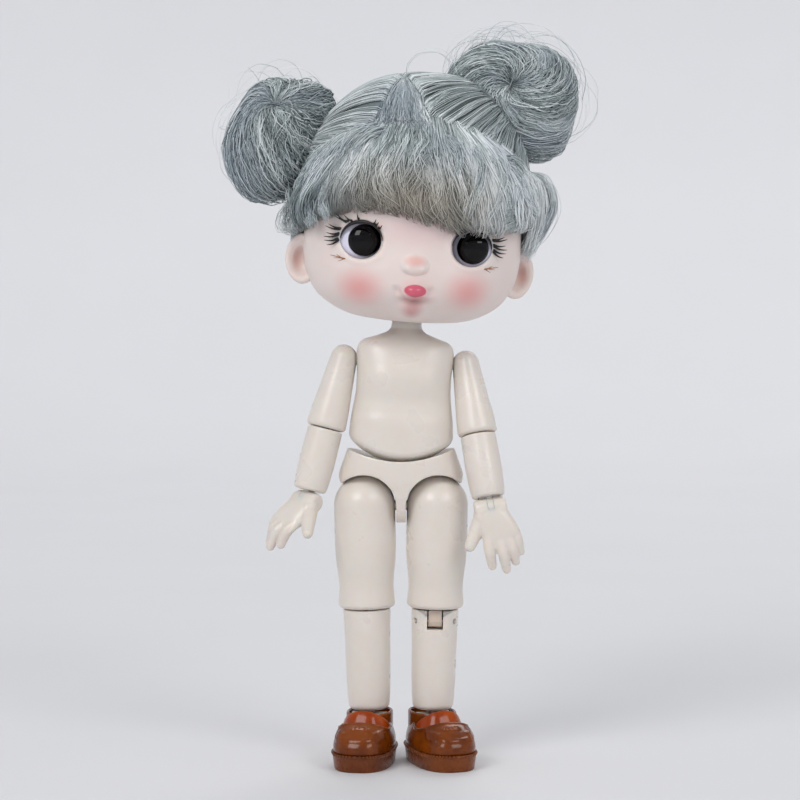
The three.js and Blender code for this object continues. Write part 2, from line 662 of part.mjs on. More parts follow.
function makeHand(body, side, tag) {
  const size = hand;
  const length = size.palmLength;
  const rows = [
    [-length, 0.8 * size.palmHalfWidth, 0.7 * size.palmHalfDepth, size.palmShift],
    [-0.8 * length, size.palmHalfWidth, 0.9 * size.palmHalfDepth, 0.95 * size.palmShift],
    [-0.34 * length, size.palmHalfWidth, size.palmHalfDepth, 0.6 * size.palmShift],
    [-0.12 * length, 1.1 * size.stubHalfWidth, 0.95 * size.domeRadius, 0.1 * size.palmShift],
    [0, size.stubHalfWidth, size.domeRadius, 0],
  ];
  const palm = loft(rows.map(([z, x, y, shift]) => ringAt(z, x, y, y, 2.3, facets.joint, side * shift, 0)));
  const dome = bar("x", size.domeRadius, -0.94 * size.stubHalfWidth, 0.94 * size.stubHalfWidth, facets.limb);
  const place = ([out, down, back]) => [side * out * length, back * length, -down * length];
  const fingers = size.fingerShares.map(([root, tip]) => finger(place(root), place(tip), size.fingerRadius));
  const half = wrist.tongueThickness / 2 + gap;
  const reach = 2 * size.domeRadius;
  const slot = block([-half, -reach, -wrist.tongueRadius - gap], [half, reach, reach]);
  const solid = cut(join(palm, dome, ...fingers), slot, hingeHole(wrist, size.stubHalfWidth));
  piece(body, "hand_" + tag, solid, skin);
  piece(body, "wrist_pin_" + tag, hingePin(wrist, size.stubHalfWidth, wrist.pinProud), pinSteel);
}

function makeArm(torsoBody, side) {
  const tag = side > 0 ? "l" : "r";
  const bendSide = -1;
  const pivot = [side * shoulderHalfSpan, 0, torso.shoulderHeight];
  const swing = joint(torsoBody, "shoulder_swing_" + tag, "x", pivot, -sidePose[tag].armForwardAngle);
  makeShoulderJoint(swing, side);
  const raise = joint(swing, "arm_raise_" + tag, "y", [0, 0, 0], -side * sidePose[tag].armRaiseAngle);
  makeUpperArm(raise, side, tag);
  const turn = joint(raise, "elbow_turn_" + tag, "z", [0, 0, -arm.upperLength], sidePose[tag].elbowTurnAngle);
  const elbowHole = pinHole(elbow, bendSide, elbow.tongueThickness, -elbow.drop);
  piece(turn, "elbow_joint_" + tag, cut(connector(elbow, bendSide), elbowHole), jointSkin);
  const bend = joint(turn, "elbow_bend_" + tag, "x", [0, bendSide * elbow.offset, -elbow.drop], 0);
  makeForearm(bend, bendSide, tag);
  const foreEnd = [0, -bendSide * elbow.offset, elbow.drop - arm.foreLength];
  const twist = joint(bend, "wrist_turn_" + tag, "z", foreEnd, sidePose[tag].wristTurnAngle - sidePose[tag].elbowTurnAngle);
  const wristHole = pinHole(wrist, 1, wrist.tongueThickness, -wrist.drop);
  piece(twist, "wrist_joint_" + tag, cut(connector(wrist, 1), wristHole), jointSkin);
  const nod = joint(twist, "wrist_bend_" + tag, "x", [0, 0, -wrist.drop], sidePose[tag].wristBendAngle);
  makeHand(nod, side, tag);
}

// Legs
function makeHipJoint(body, side, tag) {
  const hub = bar("y", hip.hubRadius, -hip.hubHalfLength, hip.hubHalfLength, facets.joint);
  const trunnion = bar("y", hip.trunnionRadius, -hip.trunnionReach, hip.trunnionReach);
  const bottom = hip.axleBeyond + gap;
  const [low, high] = side > 0 ? [-leg.domeRadius, bottom] : [-bottom, leg.domeRadius];
  const bore = bar("x", hip.axleRadius + gap, low, high);
  piece(body, "hip_joint_" + tag, cut(join(hub, trunnion), bore), jointSkin);
}

function makeThigh(body, side, tag) {
  const rim = -leg.thighLength;
  const rows = [
    [rim, leg.rimRadius],
    [0.93 * rim, leg.rimRadius],
    [0.8 * rim, leg.thighLowRadius],
    [0.62 * rim, (leg.thighLowRadius + leg.domeRadius) / 2],
    [0.33 * rim, leg.domeRadius],
    [0, leg.domeRadius],
  ];
  const shaft = loft(rows.map(([z, r]) => ringAt(z, r, r, r, 2, 2 * facets.joint)));
  const dome = globe(leg.domeRadius, 2 * facets.joint);
  const reach = leg.domeRadius + overrun;
  const tools = [
    bar("y", hip.hubRadius + gap, -hip.hubHalfLength - gap, hip.hubHalfLength + gap, facets.joint),
    bar("y", hip.trunnionRadius + gap, -hip.trunnionReach - gap, hip.trunnionReach + gap),
    sweepRoom(-side, hip.spreadLimit, hip.inwardLimit, hip.axleRadius + gap, reach, hip.axleRadius + gap),
    ...connectorBore(knee, rim),
  ];
  piece(body, "thigh_" + tag, cut(join(shaft, dome), ...tools), skin);
}

function makeShin(body, bendSide, tag) {
  const [top, end] = [knee.drop - gap, knee.drop - leg.shinLength];
  const shift = -bendSide * knee.offset;
  const edge = leg.shinEndRadius / 6;
  const rows = [
    [end, leg.shinEndRadius - edge],
    [end + edge, leg.shinEndRadius],
    [end + 0.25 * leg.shinLength, (leg.shinEndRadius + leg.shinMidRadius) / 2],
    [end + 0.6 * leg.shinLength, leg.shinMidRadius],
    [top, leg.shinTopRadius],
  ];
  const shaft = loft(rows.map(([z, r]) => ringAt(z, r, r, r, 2, facets.tube, 0, shift)));
  const bore = connectorBore(ankle, end).map((tool) => tool.translate(0, shift, 0));
  const solid = cut(shaft, tongueSlot(knee, bendSide, 2 * leg.rimRadius),
    bendRounding(knee, bendSide, leg.rimRadius), hingeHole(knee, leg.shinTopRadius), ...bore);
  piece(body, "shin_" + tag, solid, skin);
  piece(body, "knee_pin_" + tag, hingePin(knee, leg.shinTopRadius, 0), pinSteel);
}

// A shoe's outline: egg shaped, wider at the toes than at the heel
function shoeRing(height, inset, front, back, widthShare) {
  const points = [];
  const sides = facets.sole;
  const middle = shoe.heelReach - shoe.length / 2;
  for (let i = 0; i < sides; i++) {
    const angle = (2 * Math.PI * i) / sides;
    const [c, s] = [Math.cos(angle), Math.sin(angle)];
    const along = Math.sign(s) * Math.abs(s) ** (2 / shoe.squareness);
    const across = Math.sign(c) * Math.abs(c) ** (2 / shoe.squareness);
    const blend = (1 - along) / 2;
    const half = (shoe.heelHalfWidth + (shoe.halfWidth - shoe.heelHalfWidth) * blend) * widthShare - inset;
    const depth = (s < 0 ? front : back) * (shoe.length / 2) - inset;
    points.push([half * across, middle + depth * along, height]);
  }
  return points;
}

// The upper's outline from the welt to the collar: height and the shares of front, back and width
function upperRings(inset, floor, lift) {
  const [low, high] = [shoe.soleHeight + gap, shoe.collarHeight];
  const rise = high - low;
  const rows = [
    [low, 1, 1, 1],
    [low + 0.3 * rise, 0.99, 0.99, 0.99],
    [low + 0.58 * rise, 0.9, 0.98, 0.98],
    [low + 0.82 * rise, 0.68, 0.97, 0.96],
    [high, 0.42, 0.95, 0.94],
  ];
  return rows.map(([height, front, back, width], i) => {
    const level = i === 0 ? floor : height - (i / (rows.length - 1)) * lift;
    return shoeRing(level, inset, front, back, width);
  });
}

function makeShoe(level, tag) {
  const bottom = shoe.soleHeight + gap;
  const sole = loft([shoeRing(0, shoe.weltWidth, 1, 1, 1), shoeRing(0.2 * shoe.soleHeight, 0, 1, 1, 1),
    shoeRing(shoe.soleHeight, 0, 1, 1, 1)]);
  piece(level, "shoe_sole_" + tag, asSolid(sole), soleVinyl);
  const outside = loft(upperRings(shoe.weltWidth, bottom, 0));
  const inset = shoe.weltWidth + shoe.wall;
  const inside = loft(upperRings(inset, bottom - overrun, shoe.wall));
  const opening = shoeOpening();
  piece(level, "shoe_upper_" + tag, cut(join(outside, shoeTongue()), inside, opening), shoeVinyl);
  const footRings = upperRings(inset + gap, bottom + gap, shoe.wall + gap);
  return cut(loft(footRings.slice(0, -1)), block([-shoe.length, -shoe.length, footRoof()],
    [shoe.length, shoe.length, shoe.length]));
}

const footRoof = () => ankle.lift - gap;

// The collar leaves room for the shin's end when the ankle bends.
function shoeOpening() {
  const [side, front] = [leg.shinEndRadius + gap, leg.shinEndRadius + 3 * gap];
  const back = shoe.heelReach - shoe.weltWidth - shoe.wall;
  return loft([
    ringAt(shoe.soleHeight + 2 * gap, side, front, back, 2.2, facets.limb),
    ringAt(2 * shoe.tongueHeight, side, front, back, 2.2, facets.limb),
  ]);
}

function shoeTongue() {
  const front = leg.shinEndRadius + 3 * gap;
  const lean = 0.35 * (shoe.tongueHeight - shoe.soleHeight);
  const base = shoe.soleHeight + 2 * gap;
  const low = shoe.soleHeight + 0.5 * (shoe.tongueHeight - shoe.soleHeight);
  const row = (height, forward) => {
    const half = shoe.tongueHalfWidth;
    return ringAt(height, half, shoe.tongueThickness, shoe.tongueThickness, 3, facets.joint, 0,
      -front - shoe.tongueThickness - forward);
  };
  return loft([row(base, lean), row(low, lean), row(shoe.tongueHeight, lean / 3)]);
}

function makeFoot(level, inner) {
  const half = foot.ankleHalfWidth;
  const dome = bar("x", foot.domeRadius, -half, half, facets.limb).translate(0, 0, ankle.lift);
  const heel = block([-half, -foot.domeRadius, shoe.soleHeight + 3 * gap], [half, foot.domeRadius, ankle.lift]);
  const slotHalf = ankle.tongueThickness / 2 + gap;
  const far = 2 * foot.domeRadius;
  const slot = block([-slotHalf, -far, ankle.lift - ankle.tongueRadius - gap], [slotHalf, far, ankle.lift + far]);
  const hole = bar("x", ankle.trunnionRadius + gap, -ankle.trunnionReach - gap, ankle.trunnionReach + gap);
  return cut(join(inner, dome, heel), slot, hole.translate(0, 0, ankle.lift));
}

function makeAnkleJoint(body, tag) {
  const size = { ...ankle, offset: 0 };
  const trunnion = bar("x", ankle.trunnionRadius, -ankle.trunnionReach, ankle.trunnionReach);
  piece(body, "ankle_joint_" + tag, join(connector(size, 1), trunnion.translate(0, 0, -ankle.drop)), jointSkin);
}

// The shoe stands level on the floor whatever the leg above it leans.
function levelGroup(body, side, tag) {
  const level = new THREE.Group();
  body.add(level);
  body.updateWorldMatrix(true, false);
  const place = new THREE.Vector3().setFromMatrixPosition(body.matrixWorld);
  const toeOut = new THREE.Matrix4().makeRotationZ(side * sidePose[tag].toeOutAngle * degrees);
  toeOut.setPosition(place.x, place.y, 0);
  toeOut.premultiply(body.matrixWorld.clone().invert());
  toeOut.decompose(level.position, level.quaternion, level.scale);
  return level;
}

function makeLeg(pelvisBody, side) {
  const tag = side > 0 ? "l" : "r";
  const bendSide = 1;
  const centre = [side * leg.hipHalfSpan, 0, -leg.hipDrop];
  const swing = joint(pelvisBody, "hip_swing_" + tag, "x", centre, 0);
  makeHipJoint(swing, side, tag);
  const spread = joint(swing, "hip_spread_" + tag, "y", [0, 0, 0], side * pose.legInwardAngle);
  makeThigh(spread, side, tag);
  const turn = joint(spread, "knee_turn_" + tag, "z", [0, 0, -leg.thighLength], sidePose[tag].kneeTurnAngle);
  const kneeHole = pinHole(knee, bendSide, knee.tongueThickness, -knee.drop);
  piece(turn, "knee_joint_" + tag, cut(connector(knee, bendSide), kneeHole), jointSkin);
  const bend = joint(turn, "knee_bend_" + tag, "x", [0, bendSide * knee.offset, -knee.drop], 0);
  makeShin(bend, bendSide, tag);
  const shinEnd = [0, -bendSide * knee.offset, knee.drop - leg.shinLength];
  const ankleTurn = side * sidePose[tag].toeOutAngle - sidePose[tag].kneeTurnAngle;
  const twist = joint(bend, "ankle_turn_" + tag, "z", shinEnd, ankleTurn);
  makeAnkleJoint(twist, tag);
  const tilt = joint(twist, "ankle_bend_" + tag, "x", [0, 0, -ankle.drop], 0);
  const level = levelGroup(tilt, side, tag);
  const inner = makeShoe(level, tag);
  piece(level, "foot_" + tag, makeFoot(level, inner), skin);
}

// Head, in the neck ball's frame. An offset moves the surface evenly outwards.
function headLoft(offset) {
  const middle = head.height / 2 - head.chinDrop;
  const grow = {
    up: 1 + offset / (head.height / 2),
    side: head.halfWidth + offset,
    front: head.frontDepth + offset,
    back: head.backDepth + offset,
  };
  const rings = headOutlineShares.map(([height, width, front, back]) => {
    const level = middle + (height * head.height - head.chinDrop - middle) * grow.up;
    return ringAt(level, width * grow.side, front * grow.front, back * grow.back, 2.15, facets.head);
  });
  const crown = middle + (head.height / 2) * grow.up;
  rings.push(ringAt(crown, 0.05 * grow.side, 0.05 * grow.front, 0.05 * grow.back, 2, facets.head));
  return loft(rings);
}

const faceDepth = (x, z) => meet(headLoft(0), [x, -4 * head.frontDepth, z], [0, 1, 0]).place.y;

function ellipsoid(radii, centre, sides) {
  return globe(1, sides).scale(...radii).translate(...centre);
}

function faceRelief() {
  const shapes = [];
  for (const side of [1, -1]) {
    shapes.push(ellipsoid([head.earHalfWidth, head.earHalfDepth, head.earHalfHeight],
      [side * head.earOut, 0, head.earLift], facets.bun));
  }
  const nose = head.noseRadius;
  shapes.push(ellipsoid([1.2 * nose, nose, nose], [0, faceDepth(0, head.noseLift) + nose / 4, head.noseLift],
    facets.feature));
  const lip = [head.lipHalfWidth, head.lipRadius, 0.75 * head.lipRadius];
  shapes.push(ellipsoid(lip, [0, faceDepth(0, head.lipLift), head.lipLift], facets.feature));
  return shapes;
}

function earDish(side) {
  const radius = 0.6 * head.earHalfWidth;
  const centre = [side * (head.earOut + 0.5 * head.earHalfWidth), -head.earHalfDepth, head.earLift];
  return ellipsoid([radius, 0.7 * radius, 1.6 * radius], centre, facets.feature);
}

const eyeCentre = (side) => {
  const x = side * eye.halfSpacing;
  return [x, faceDepth(x, eye.lift) + eye.setBack + eye.ballRadius, eye.lift];
};

function makeSkull(body) {
  const outside = join(headLoft(0), ...faceRelief());
  const neckHole = bar("z", neck.holeRadius, -2 * head.chinDrop, 0, facets.limb);
  const shell = cut(outside, headLoft(-head.wall), neckHole, eyeRoom(1), eyeRoom(-1), earDish(1), earDish(-1));
  const half = halves(shell, head.splitBehind, 2 * head.height);
  piece(body, "face_shell", half.front, skin);
  piece(body, "skull_back", half.back, skin);
  piece(body, "neck_socket", neckSocket(), jointSkin);
}

function eyeRoom(side) {
  const centre = eyeCentre(side);
  const tunnel = bar("y", 1, -2 * head.frontDepth, 0, facets.eye).scale(eye.openHalfWidth, 1, eye.openHalfHeight);
  tunnel.translate(...centre);
  return join(tunnel, globe(eye.ballRadius + gap, facets.eye).translate(...centre));
}

// A cup over the neck ball, with a flange that lies on the floor of the head
function neckSocket() {
  const floor = -head.chinDrop + head.wall + gap;
  const inner = neck.ballRadius + gap;
  const outer = inner + neck.shell;
  const profile = [
    [0, floor], [neck.socketFlangeRadius, floor], [neck.socketFlangeRadius, floor + neck.socketFlangeHeight],
    [outer, floor + neck.socketFlangeHeight], [outer, 0], [0.87 * outer, 0.5 * outer], [0.5 * outer, 0.87 * outer],
    [0, outer],
  ];
  return cut(turned(profile, facets.tube), globe(inner, facets.tube));
}

function makeEye(body, side, tag) {
  const [x, y, z] = eyeCentre(side);
  const radius = eye.ballRadius;
  const front = globe(radius, facets.eye).translate(x, y, z);
  const behind = block([x - 2 * radius, y + eye.ballBehind, z - 2 * radius], [x + 2 * radius, y + 2 * radius,
    z + 2 * radius]);
  const seat = bar("y", eye.pupilRadius + gap, y - 2 * radius, y - radius + eye.pupilDepth, facets.eye)
    .translate(x + eye.glance, 0, z);
  piece(body, "eye_white_" + tag, cut(front, behind, seat), eyeWhite);
  const dome = globe(1, facets.eye).scale(eye.pupilRadius, eye.pupilDepth + eye.pupilBulge, eye.pupilRadius);
  const flat = y - radius + eye.pupilDepth - gap;
  const keep = block([-2 * radius, -2 * radius, -2 * radius], [2 * radius, 0, 2 * radius]);
  piece(body, "eye_pupil_" + tag, asSolid(geometryOf(common(dome, keep)).translate(x + eye.glance, flat, z)),
    eyeBlack);
}

// Hair: a cap over the skull, a rolled fringe, and two buns that rest on the cap
function makeHair(body) {
  const reach = 3 * head.height;
  const scalp = headLoft(gap);
  const shell = cut(headLoft(gap + hair.thickness), scalp);
  const fringeSide = (top, bottom, back) => block([-reach, -reach, bottom], [reach, back, top]);
  const face = block([-reach, -reach, -reach], [reach, hair.capFront, hair.templeLift]);
  const nape = block([-reach, -reach, -reach], [reach, reach, hair.napeLift]);
  const bangRoom = fringeSide(hair.fringeTop + gap, -reach, hair.fringeReach + gap);
  const ears = [1, -1].map((side) => ellipsoid([head.earHalfWidth + gap, head.earHalfDepth + gap,
    head.earHalfHeight + gap], [side * head.earOut, 0, head.earLift], facets.bun));
  piece(body, "wig_cap", cut(shell, face, nape, bangRoom, ...ears), hairFibre);
  const roll = cut(headLoft(gap + hair.fringeThickness), scalp);
  piece(body, "wig_fringe", common(roll, fringeSide(hair.fringeTop, hair.fringeBottom, hair.fringeReach)),
    hairFibre);
  for (const tag of ["r", "l"]) makeBun(body, tag);
}

function makeBun(body, tag) {
  const { centre, radii } = buns[tag];
  const capSkin = headLoft(2 * gap + hair.thickness);
  const reach = 3 * head.height;
  const bang = common(headLoft(2 * gap + hair.fringeThickness), block([-reach, -reach, hair.fringeBottom - gap],
    [reach, hair.fringeReach + gap, hair.fringeTop + gap]));
  const heart = new THREE.Vector3(0, 0, head.height / 2 - head.chinDrop);
  const away = new THREE.Vector3(...centre).sub(heart);
  const seat = meet(capSkin, heart.toArray(), away.toArray());
  const turn = new THREE.Quaternion().setFromUnitVectors(new THREE.Vector3(0, 0, 1), seat.outward);
  const onSeat = (shape) => shape.applyQuaternion(turn).translate(...seat.place.toArray());
  const { ringRadius, cordRadius } = bunTie;
  const wide = cordRadius + gap;
  const channel = onSeat(cutRing(ringRadius - wide, ringRadius + wide, -2 * ringRadius, 2 * wide + gap));
  const solid = cut(ellipsoid(radii, centre, facets.ball), capSkin, bang, channel);
  piece(body, "hair_bun_" + tag, solid, hairFibre);
  const tie = new THREE.TorusGeometry(ringRadius, cordRadius, facets.pin, facets.bun);
  piece(body, "bun_tie_" + tag, asSolid(onSeat(tie.translate(0, 0, cordRadius + gap))), tieRubber);
}

function cutRing(inner, outer, low, high) {
  const profile = [[inner, low], [outer, low], [outer, high], [inner, high], [inner, low]];
  return turned(profile, facets.bun);
}

// The whole doll
function makeDoll() {
  const trunk = new THREE.Group();
  trunk.position.set(0, 0, waistHeight);
  makePelvis(trunk);
  for (const side of [-1, 1]) makeLeg(trunk, side);
  const origin = [0, 0, 0];
  const waistTurn = joint(trunk, "waist_turn", "z", origin, 0);
  piece(waistTurn, "waist_post", tonguedPost(waist, 0, -waist.flangeDrop + waist.flangeHeight,
    torso.bottomDrop), jointSkin);
  const waistBend = joint(waistTurn, "waist_bend", "x", origin, 0);
  piece(waistBend, "waist_ball", slottedBall(waist), jointSkin);
  const torsoBody = joint(waistBend, "waist_lean", "y", origin, pose.torsoLeanAngle);
  makeTorso(torsoBody);
  for (const side of [-1, 1]) makeArm(torsoBody, side);
  const neckTurn = joint(torsoBody, "neck_turn", "z", [0, 0, neckBallHeight], pose.headYawAngle);
  const flangeTop = neckTop - neckBoreDepth - gap - neckBallHeight;
  piece(neckTurn, "neck_post", tonguedPost(neck, 0, flangeTop, neckBallHeight - neckTop), jointSkin);
  const neckNod = joint(neckTurn, "head_nod", "x", origin, 0);
  piece(neckNod, "neck_ball", slottedBall(neck), jointSkin);
  const headBody = joint(neckNod, "head_tilt", "y", origin, pose.headRollAngle);
  makeSkull(headBody);
  makeEye(headBody, -1, "r");
  makeEye(headBody, 1, "l");
  makeHair(headBody);
  return trunk;
}

const root = new THREE.Group();
const trunk = makeDoll();
root.add(trunk);
root.updateMatrixWorld(true);
const extent = new THREE.Box3().setFromObject(root, true);
const middle = extent.getCenter(new THREE.Vector3());
trunk.position.x -= middle.x;
trunk.position.y -= middle.y;
trunk.position.z -= extent.min.z;

export default root;
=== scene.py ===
# Looks of a small ball jointed doll: smooth plastic limbs, a painted face, combed hair in buns and glossy loafers.
# Lengths in the dictionaries are millimetres in each piece's own frame: x to the doll's left, y to its back, z up.
import json
import math

import bpy
import numpy as np
from mathutils import Matrix, Vector
from numpy import arange, array, clip, column_stack, concatenate, cos, cross, exp, linspace, pi, radians, sin, stack
from numpy import vstack, where


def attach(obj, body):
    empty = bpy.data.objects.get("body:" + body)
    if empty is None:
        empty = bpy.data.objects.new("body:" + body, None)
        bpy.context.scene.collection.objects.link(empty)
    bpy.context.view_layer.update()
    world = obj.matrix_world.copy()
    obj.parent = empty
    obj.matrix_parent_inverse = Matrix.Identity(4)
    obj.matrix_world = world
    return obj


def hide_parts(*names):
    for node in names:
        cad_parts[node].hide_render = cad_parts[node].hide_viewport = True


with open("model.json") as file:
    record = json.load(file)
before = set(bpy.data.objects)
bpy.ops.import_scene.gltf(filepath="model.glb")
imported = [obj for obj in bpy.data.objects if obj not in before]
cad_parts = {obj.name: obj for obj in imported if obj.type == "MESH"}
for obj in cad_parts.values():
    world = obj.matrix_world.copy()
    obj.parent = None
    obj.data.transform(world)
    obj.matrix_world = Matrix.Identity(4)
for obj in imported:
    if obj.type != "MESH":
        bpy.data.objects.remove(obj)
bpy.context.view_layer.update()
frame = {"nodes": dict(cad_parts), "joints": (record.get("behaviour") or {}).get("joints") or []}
print("frame loaded")

mm = 0.001
joints = {joint["name"]: joint for joint in frame["joints"]}
gap = 0.3  # between pieces that turn in each other
sides = (("r", -1), ("l", 1))  # the doll's own right is on the left of the picture

# degrees that the hands and the head are turned by where no joint axis says it
rest = {"headRoll": 1.4, "handTilt": {"r": -30, "l": 0}}


def unit(vector):
    vector = np.asarray(vector, float)
    return vector / np.linalg.norm(vector, axis=-1, keepdims=True)


def axisOf(joint, sign=1):
    return sign * unit(joints[joint]["axis"])


def placeOf(joint):
    return array(joints[joint]["pos_m"]) / mm


class Place:
    # a piece's own frame: its origin and the directions of its x, y and z axes in the doll's frame

    def __init__(self, origin, x=None, y=None, z=None):
        x = unit(cross(y, z) if x is None else x)
        z = unit(cross(x, y) if z is None else z)
        y = unit(cross(z, x))
        self.origin = array(origin, float)
        self.turn = column_stack([x, y, cross(x, y)])

    def world(self, points):
        return self.origin + np.asarray(points) @ self.turn.T

    def tilted(self, axis, degrees):
        matrix = array(Matrix.Rotation(math.radians(degrees), 3, axis))
        made = Place(self.origin, x=self.turn[:, 0], y=self.turn[:, 1])
        made.turn = self.turn @ matrix
        return made


def bodyPlaces():
    places = {
        "pelvis": Place(placeOf("waist_turn"), x=(1, 0, 0), y=(0, 1, 0)),
        "torso": Place(placeOf("waist_turn"), y=(0, 1, 0), z=axisOf("neck_turn")),
        "head": Place(placeOf("head_tilt"), x=axisOf("head_nod"), y=axisOf("head_tilt")).tilted("Y", rest["headRoll"]),
    }
    for tag, side in sides:
        places["upper_arm_" + tag] = Place(
            placeOf("arm_raise_" + tag), y=axisOf("arm_raise_" + tag, -side), z=axisOf("elbow_turn_" + tag))
        places["forearm_" + tag] = Place(
            placeOf("elbow_bend_" + tag), x=axisOf("elbow_bend_" + tag, -1), z=axisOf("wrist_turn_" + tag))
        places["hand_" + tag] = Place(
            placeOf("wrist_bend_" + tag), x=axisOf("wrist_bend_" + tag), z=axisOf("wrist_turn_" + tag)
        ).tilted("X", rest["handTilt"][tag])
        places["thigh_" + tag] = Place(placeOf("hip_spread_" + tag), y=(0, 1, 0), z=axisOf("knee_turn_" + tag))
        places["shin_" + tag] = Place(
            placeOf("knee_bend_" + tag), x=axisOf("knee_bend_" + tag), z=axisOf("ankle_turn_" + tag))
        ankle = placeOf("ankle_bend_" + tag)
        across = axisOf("ankle_bend_" + tag)
        places["foot_" + tag] = Place((ankle[0], ankle[1], 0), x=(across[0], across[1], 0), z=(0, 0, 1))
    return places


places = bodyPlaces()


# surfaces as grids of points
def smoothCurve(stations, values, at):
    # monotone cubic: each slope is the harmonic mean of its neighbours' slopes, so the curve never overshoots
    x, y, at = (np.asarray(v, float) for v in (stations, values, at))
    y = y.reshape(len(x), -1)
    h = np.diff(x)[:, None]
    d = np.diff(y, axis=0) / h
    m = np.zeros_like(y)
    m[0], m[-1] = d[0], d[-1]
    w1, w2 = 2 * h[1:] + h[:-1], h[1:] + 2 * h[:-1]
    same = d[:-1] * d[1:] > 0
    a, b = where(same, d[:-1], 1), where(same, d[1:], 1)
    m[1:-1] = where(same, (w1 + w2) / (w1 / a + w2 / b), 0)
    i = clip(np.searchsorted(x, at) - 1, 0, len(x) - 2)
    t = ((at - x[i]) / (x[i + 1] - x[i]))[:, None]
    made = (y[i] * (1 + 2 * t) * (1 - t) ** 2 + y[i + 1] * t**2 * (3 - 2 * t)
            + h[i] * (m[i] * t * (1 - t) ** 2 - m[i + 1] * t**2 * (1 - t)))
    return made


def signedPower(value, power):
    return np.sign(value) * np.abs(value) ** power


def rings(rows, count, power=2, start=0, turn=1):
    # a row is height, half width, depth in front, depth behind, shift in x and in y: each ring is the superellipse
    # x = width * cos^(2/power), y = depth * sin^(2/power)
    rows = np.asarray(rows, float)[:, :, None]
    angle = (start + turn * arange(count) / (count if turn == 1 else count - 1)) * 2 * pi
    c, s = cos(angle), sin(angle)
    power = np.asarray(power, float).reshape(-1, 1)
    x = rows[:, 1] * signedPower(c, 2 / power) + rows[:, 4]
    y = where(s < 0, rows[:, 2], rows[:, 3]) * signedPower(s, 2 / power) + rows[:, 5]
    return stack([x, y, rows[:, 0] + 0 * x], -1)


def turnedRows(profile):
    # a turned shape's rows from [height, radius] pairs
    profile = np.asarray(profile, float)
    z, r = profile[:, 0], profile[:, 1]
    return stack([z, r, r, r, 0 * z, 0 * z], -1)


def corner(centre, radius, fromDegrees, toDegrees, steps=7):
    # [height, radius] points on an arc about a centre [height, radius]; 0 degrees looks out, 90 up
    angle = radians(linspace(fromDegrees, toDegrees, steps))
    return stack([centre[0] + radius * sin(angle), centre[1] + radius * cos(angle)], -1)


def gridFaces(rows, cols, wrap=True, closeLow=True, closeHigh=True):
    r = arange(rows - 1)[:, None]
    c = arange(cols if wrap else cols - 1)[None, :]
    following = (c + 1) % cols
    quads = stack([r * cols + c, r * cols + following, (r + 1) * cols + following, (r + 1) * cols + c], -1)
    tris = np.zeros((0, 3), int)
    c, following = c.ravel(), following.ravel()
    pole = rows * cols
    if closeLow:
        tris = vstack([tris, stack([following, c, c * 0 + pole], -1)])
        pole += 1
    if closeHigh:
        top = (rows - 1) * cols
        tris = vstack([tris, stack([top + c, top + following, c * 0 + pole], -1)])
    return quads.reshape(-1, 4), tris


def shellOf(grid, wrap=True, closeLow=True, closeHigh=True):
    # a grid of points as one closed skin: points, quads, triangles; a closed end is a fan about its middle
    rows, cols = grid.shape[:2]
    points = [grid.reshape(-1, 3)]
    if closeLow:
        points.append(grid[0].mean(0)[None])
    if closeHigh:
        points.append(grid[-1].mean(0)[None])
    return (vstack(points), *gridFaces(rows, cols, wrap, closeLow, closeHigh))


def together(*shells):
    points, quads, tris, count = [], [], [], 0
    for p, q, t in shells:
        points.append(p)
        quads.append(q + count)
        tris.append(t + count)
        count += len(p)
    return vstack(points), vstack(quads), vstack(tris)


def meshObject(name, shell, place=None, sharp=40):
    points, quads, tris = shell
    if place is not None:
        points = place.world(points)
    mesh = bpy.data.meshes.new(name)
    mesh.vertices.add(len(points))
    mesh.vertices.foreach_set("co", (points * mm).astype(np.float32).ravel())
    corners = concatenate([quads.ravel(), tris.ravel()])
    mesh.loops.add(len(corners))
    mesh.loops.foreach_set("vertex_index", corners.astype(np.int32))
    starts = concatenate([arange(len(quads)) * 4, len(quads) * 4 + arange(len(tris)) * 3])
    mesh.polygons.add(len(starts))
    mesh.polygons.foreach_set("loop_start", starts.astype(np.int32))
    mesh.update(calc_edges=True)
    mesh.validate()
    obj = bpy.data.objects.new(name, mesh)
    bpy.context.scene.collection.objects.link(obj)
    shade(obj, sharp)
    return obj


def shade(obj, sharp):
    obj.data.shade_smooth()
    if sharp < 180:
        obj.data.set_sharp_from_angle(angle=math.radians(sharp))


def settle(obj, sharp=40):
    # the modifiers' result becomes the mesh
    depsgraph = bpy.context.evaluated_depsgraph_get()
    made = bpy.data.meshes.new_from_object(obj.evaluated_get(depsgraph))
    obj.modifiers.clear()
    old, obj.data = obj.data, made
    bpy.data.meshes.remove(old)
    made.name = obj.name
    shade(obj, sharp)


def removeObject(obj):
    mesh = obj.data
    bpy.data.objects.remove(obj)
    bpy.data.meshes.remove(mesh)


def carve(obj, tools, place, operation="DIFFERENCE", sharp=35):
    made = []
    for number, tool in enumerate(tools):
        cutter = meshObject(f"{obj.name}Cut{number}", tool, place) if isinstance(tool, tuple) else tool
        modifier = obj.modifiers.new("cut", "BOOLEAN")
        modifier.operation, modifier.solver, modifier.object = operation, "MANIFOLD", cutter
        made.append(cutter)
    before = len(obj.data.vertices)
    settle(obj, sharp)
    if len(obj.data.vertices) == before:
        print("nothing was cut from", obj.name)
    for cutter in made:
        removeObject(cutter)


def barTool(axis, radius, start, end, at=(0, 0, 0), sides=48):
    # a round bar along an axis
    grid = rings(turnedRows([[start, radius], [end, radius]]), sides)
    if axis == "x":
        grid = grid[..., [2, 0, 1]]
    if axis == "y":
        grid = grid[..., [1, 2, 0]]
    return shellOf(grid + array(at, float))


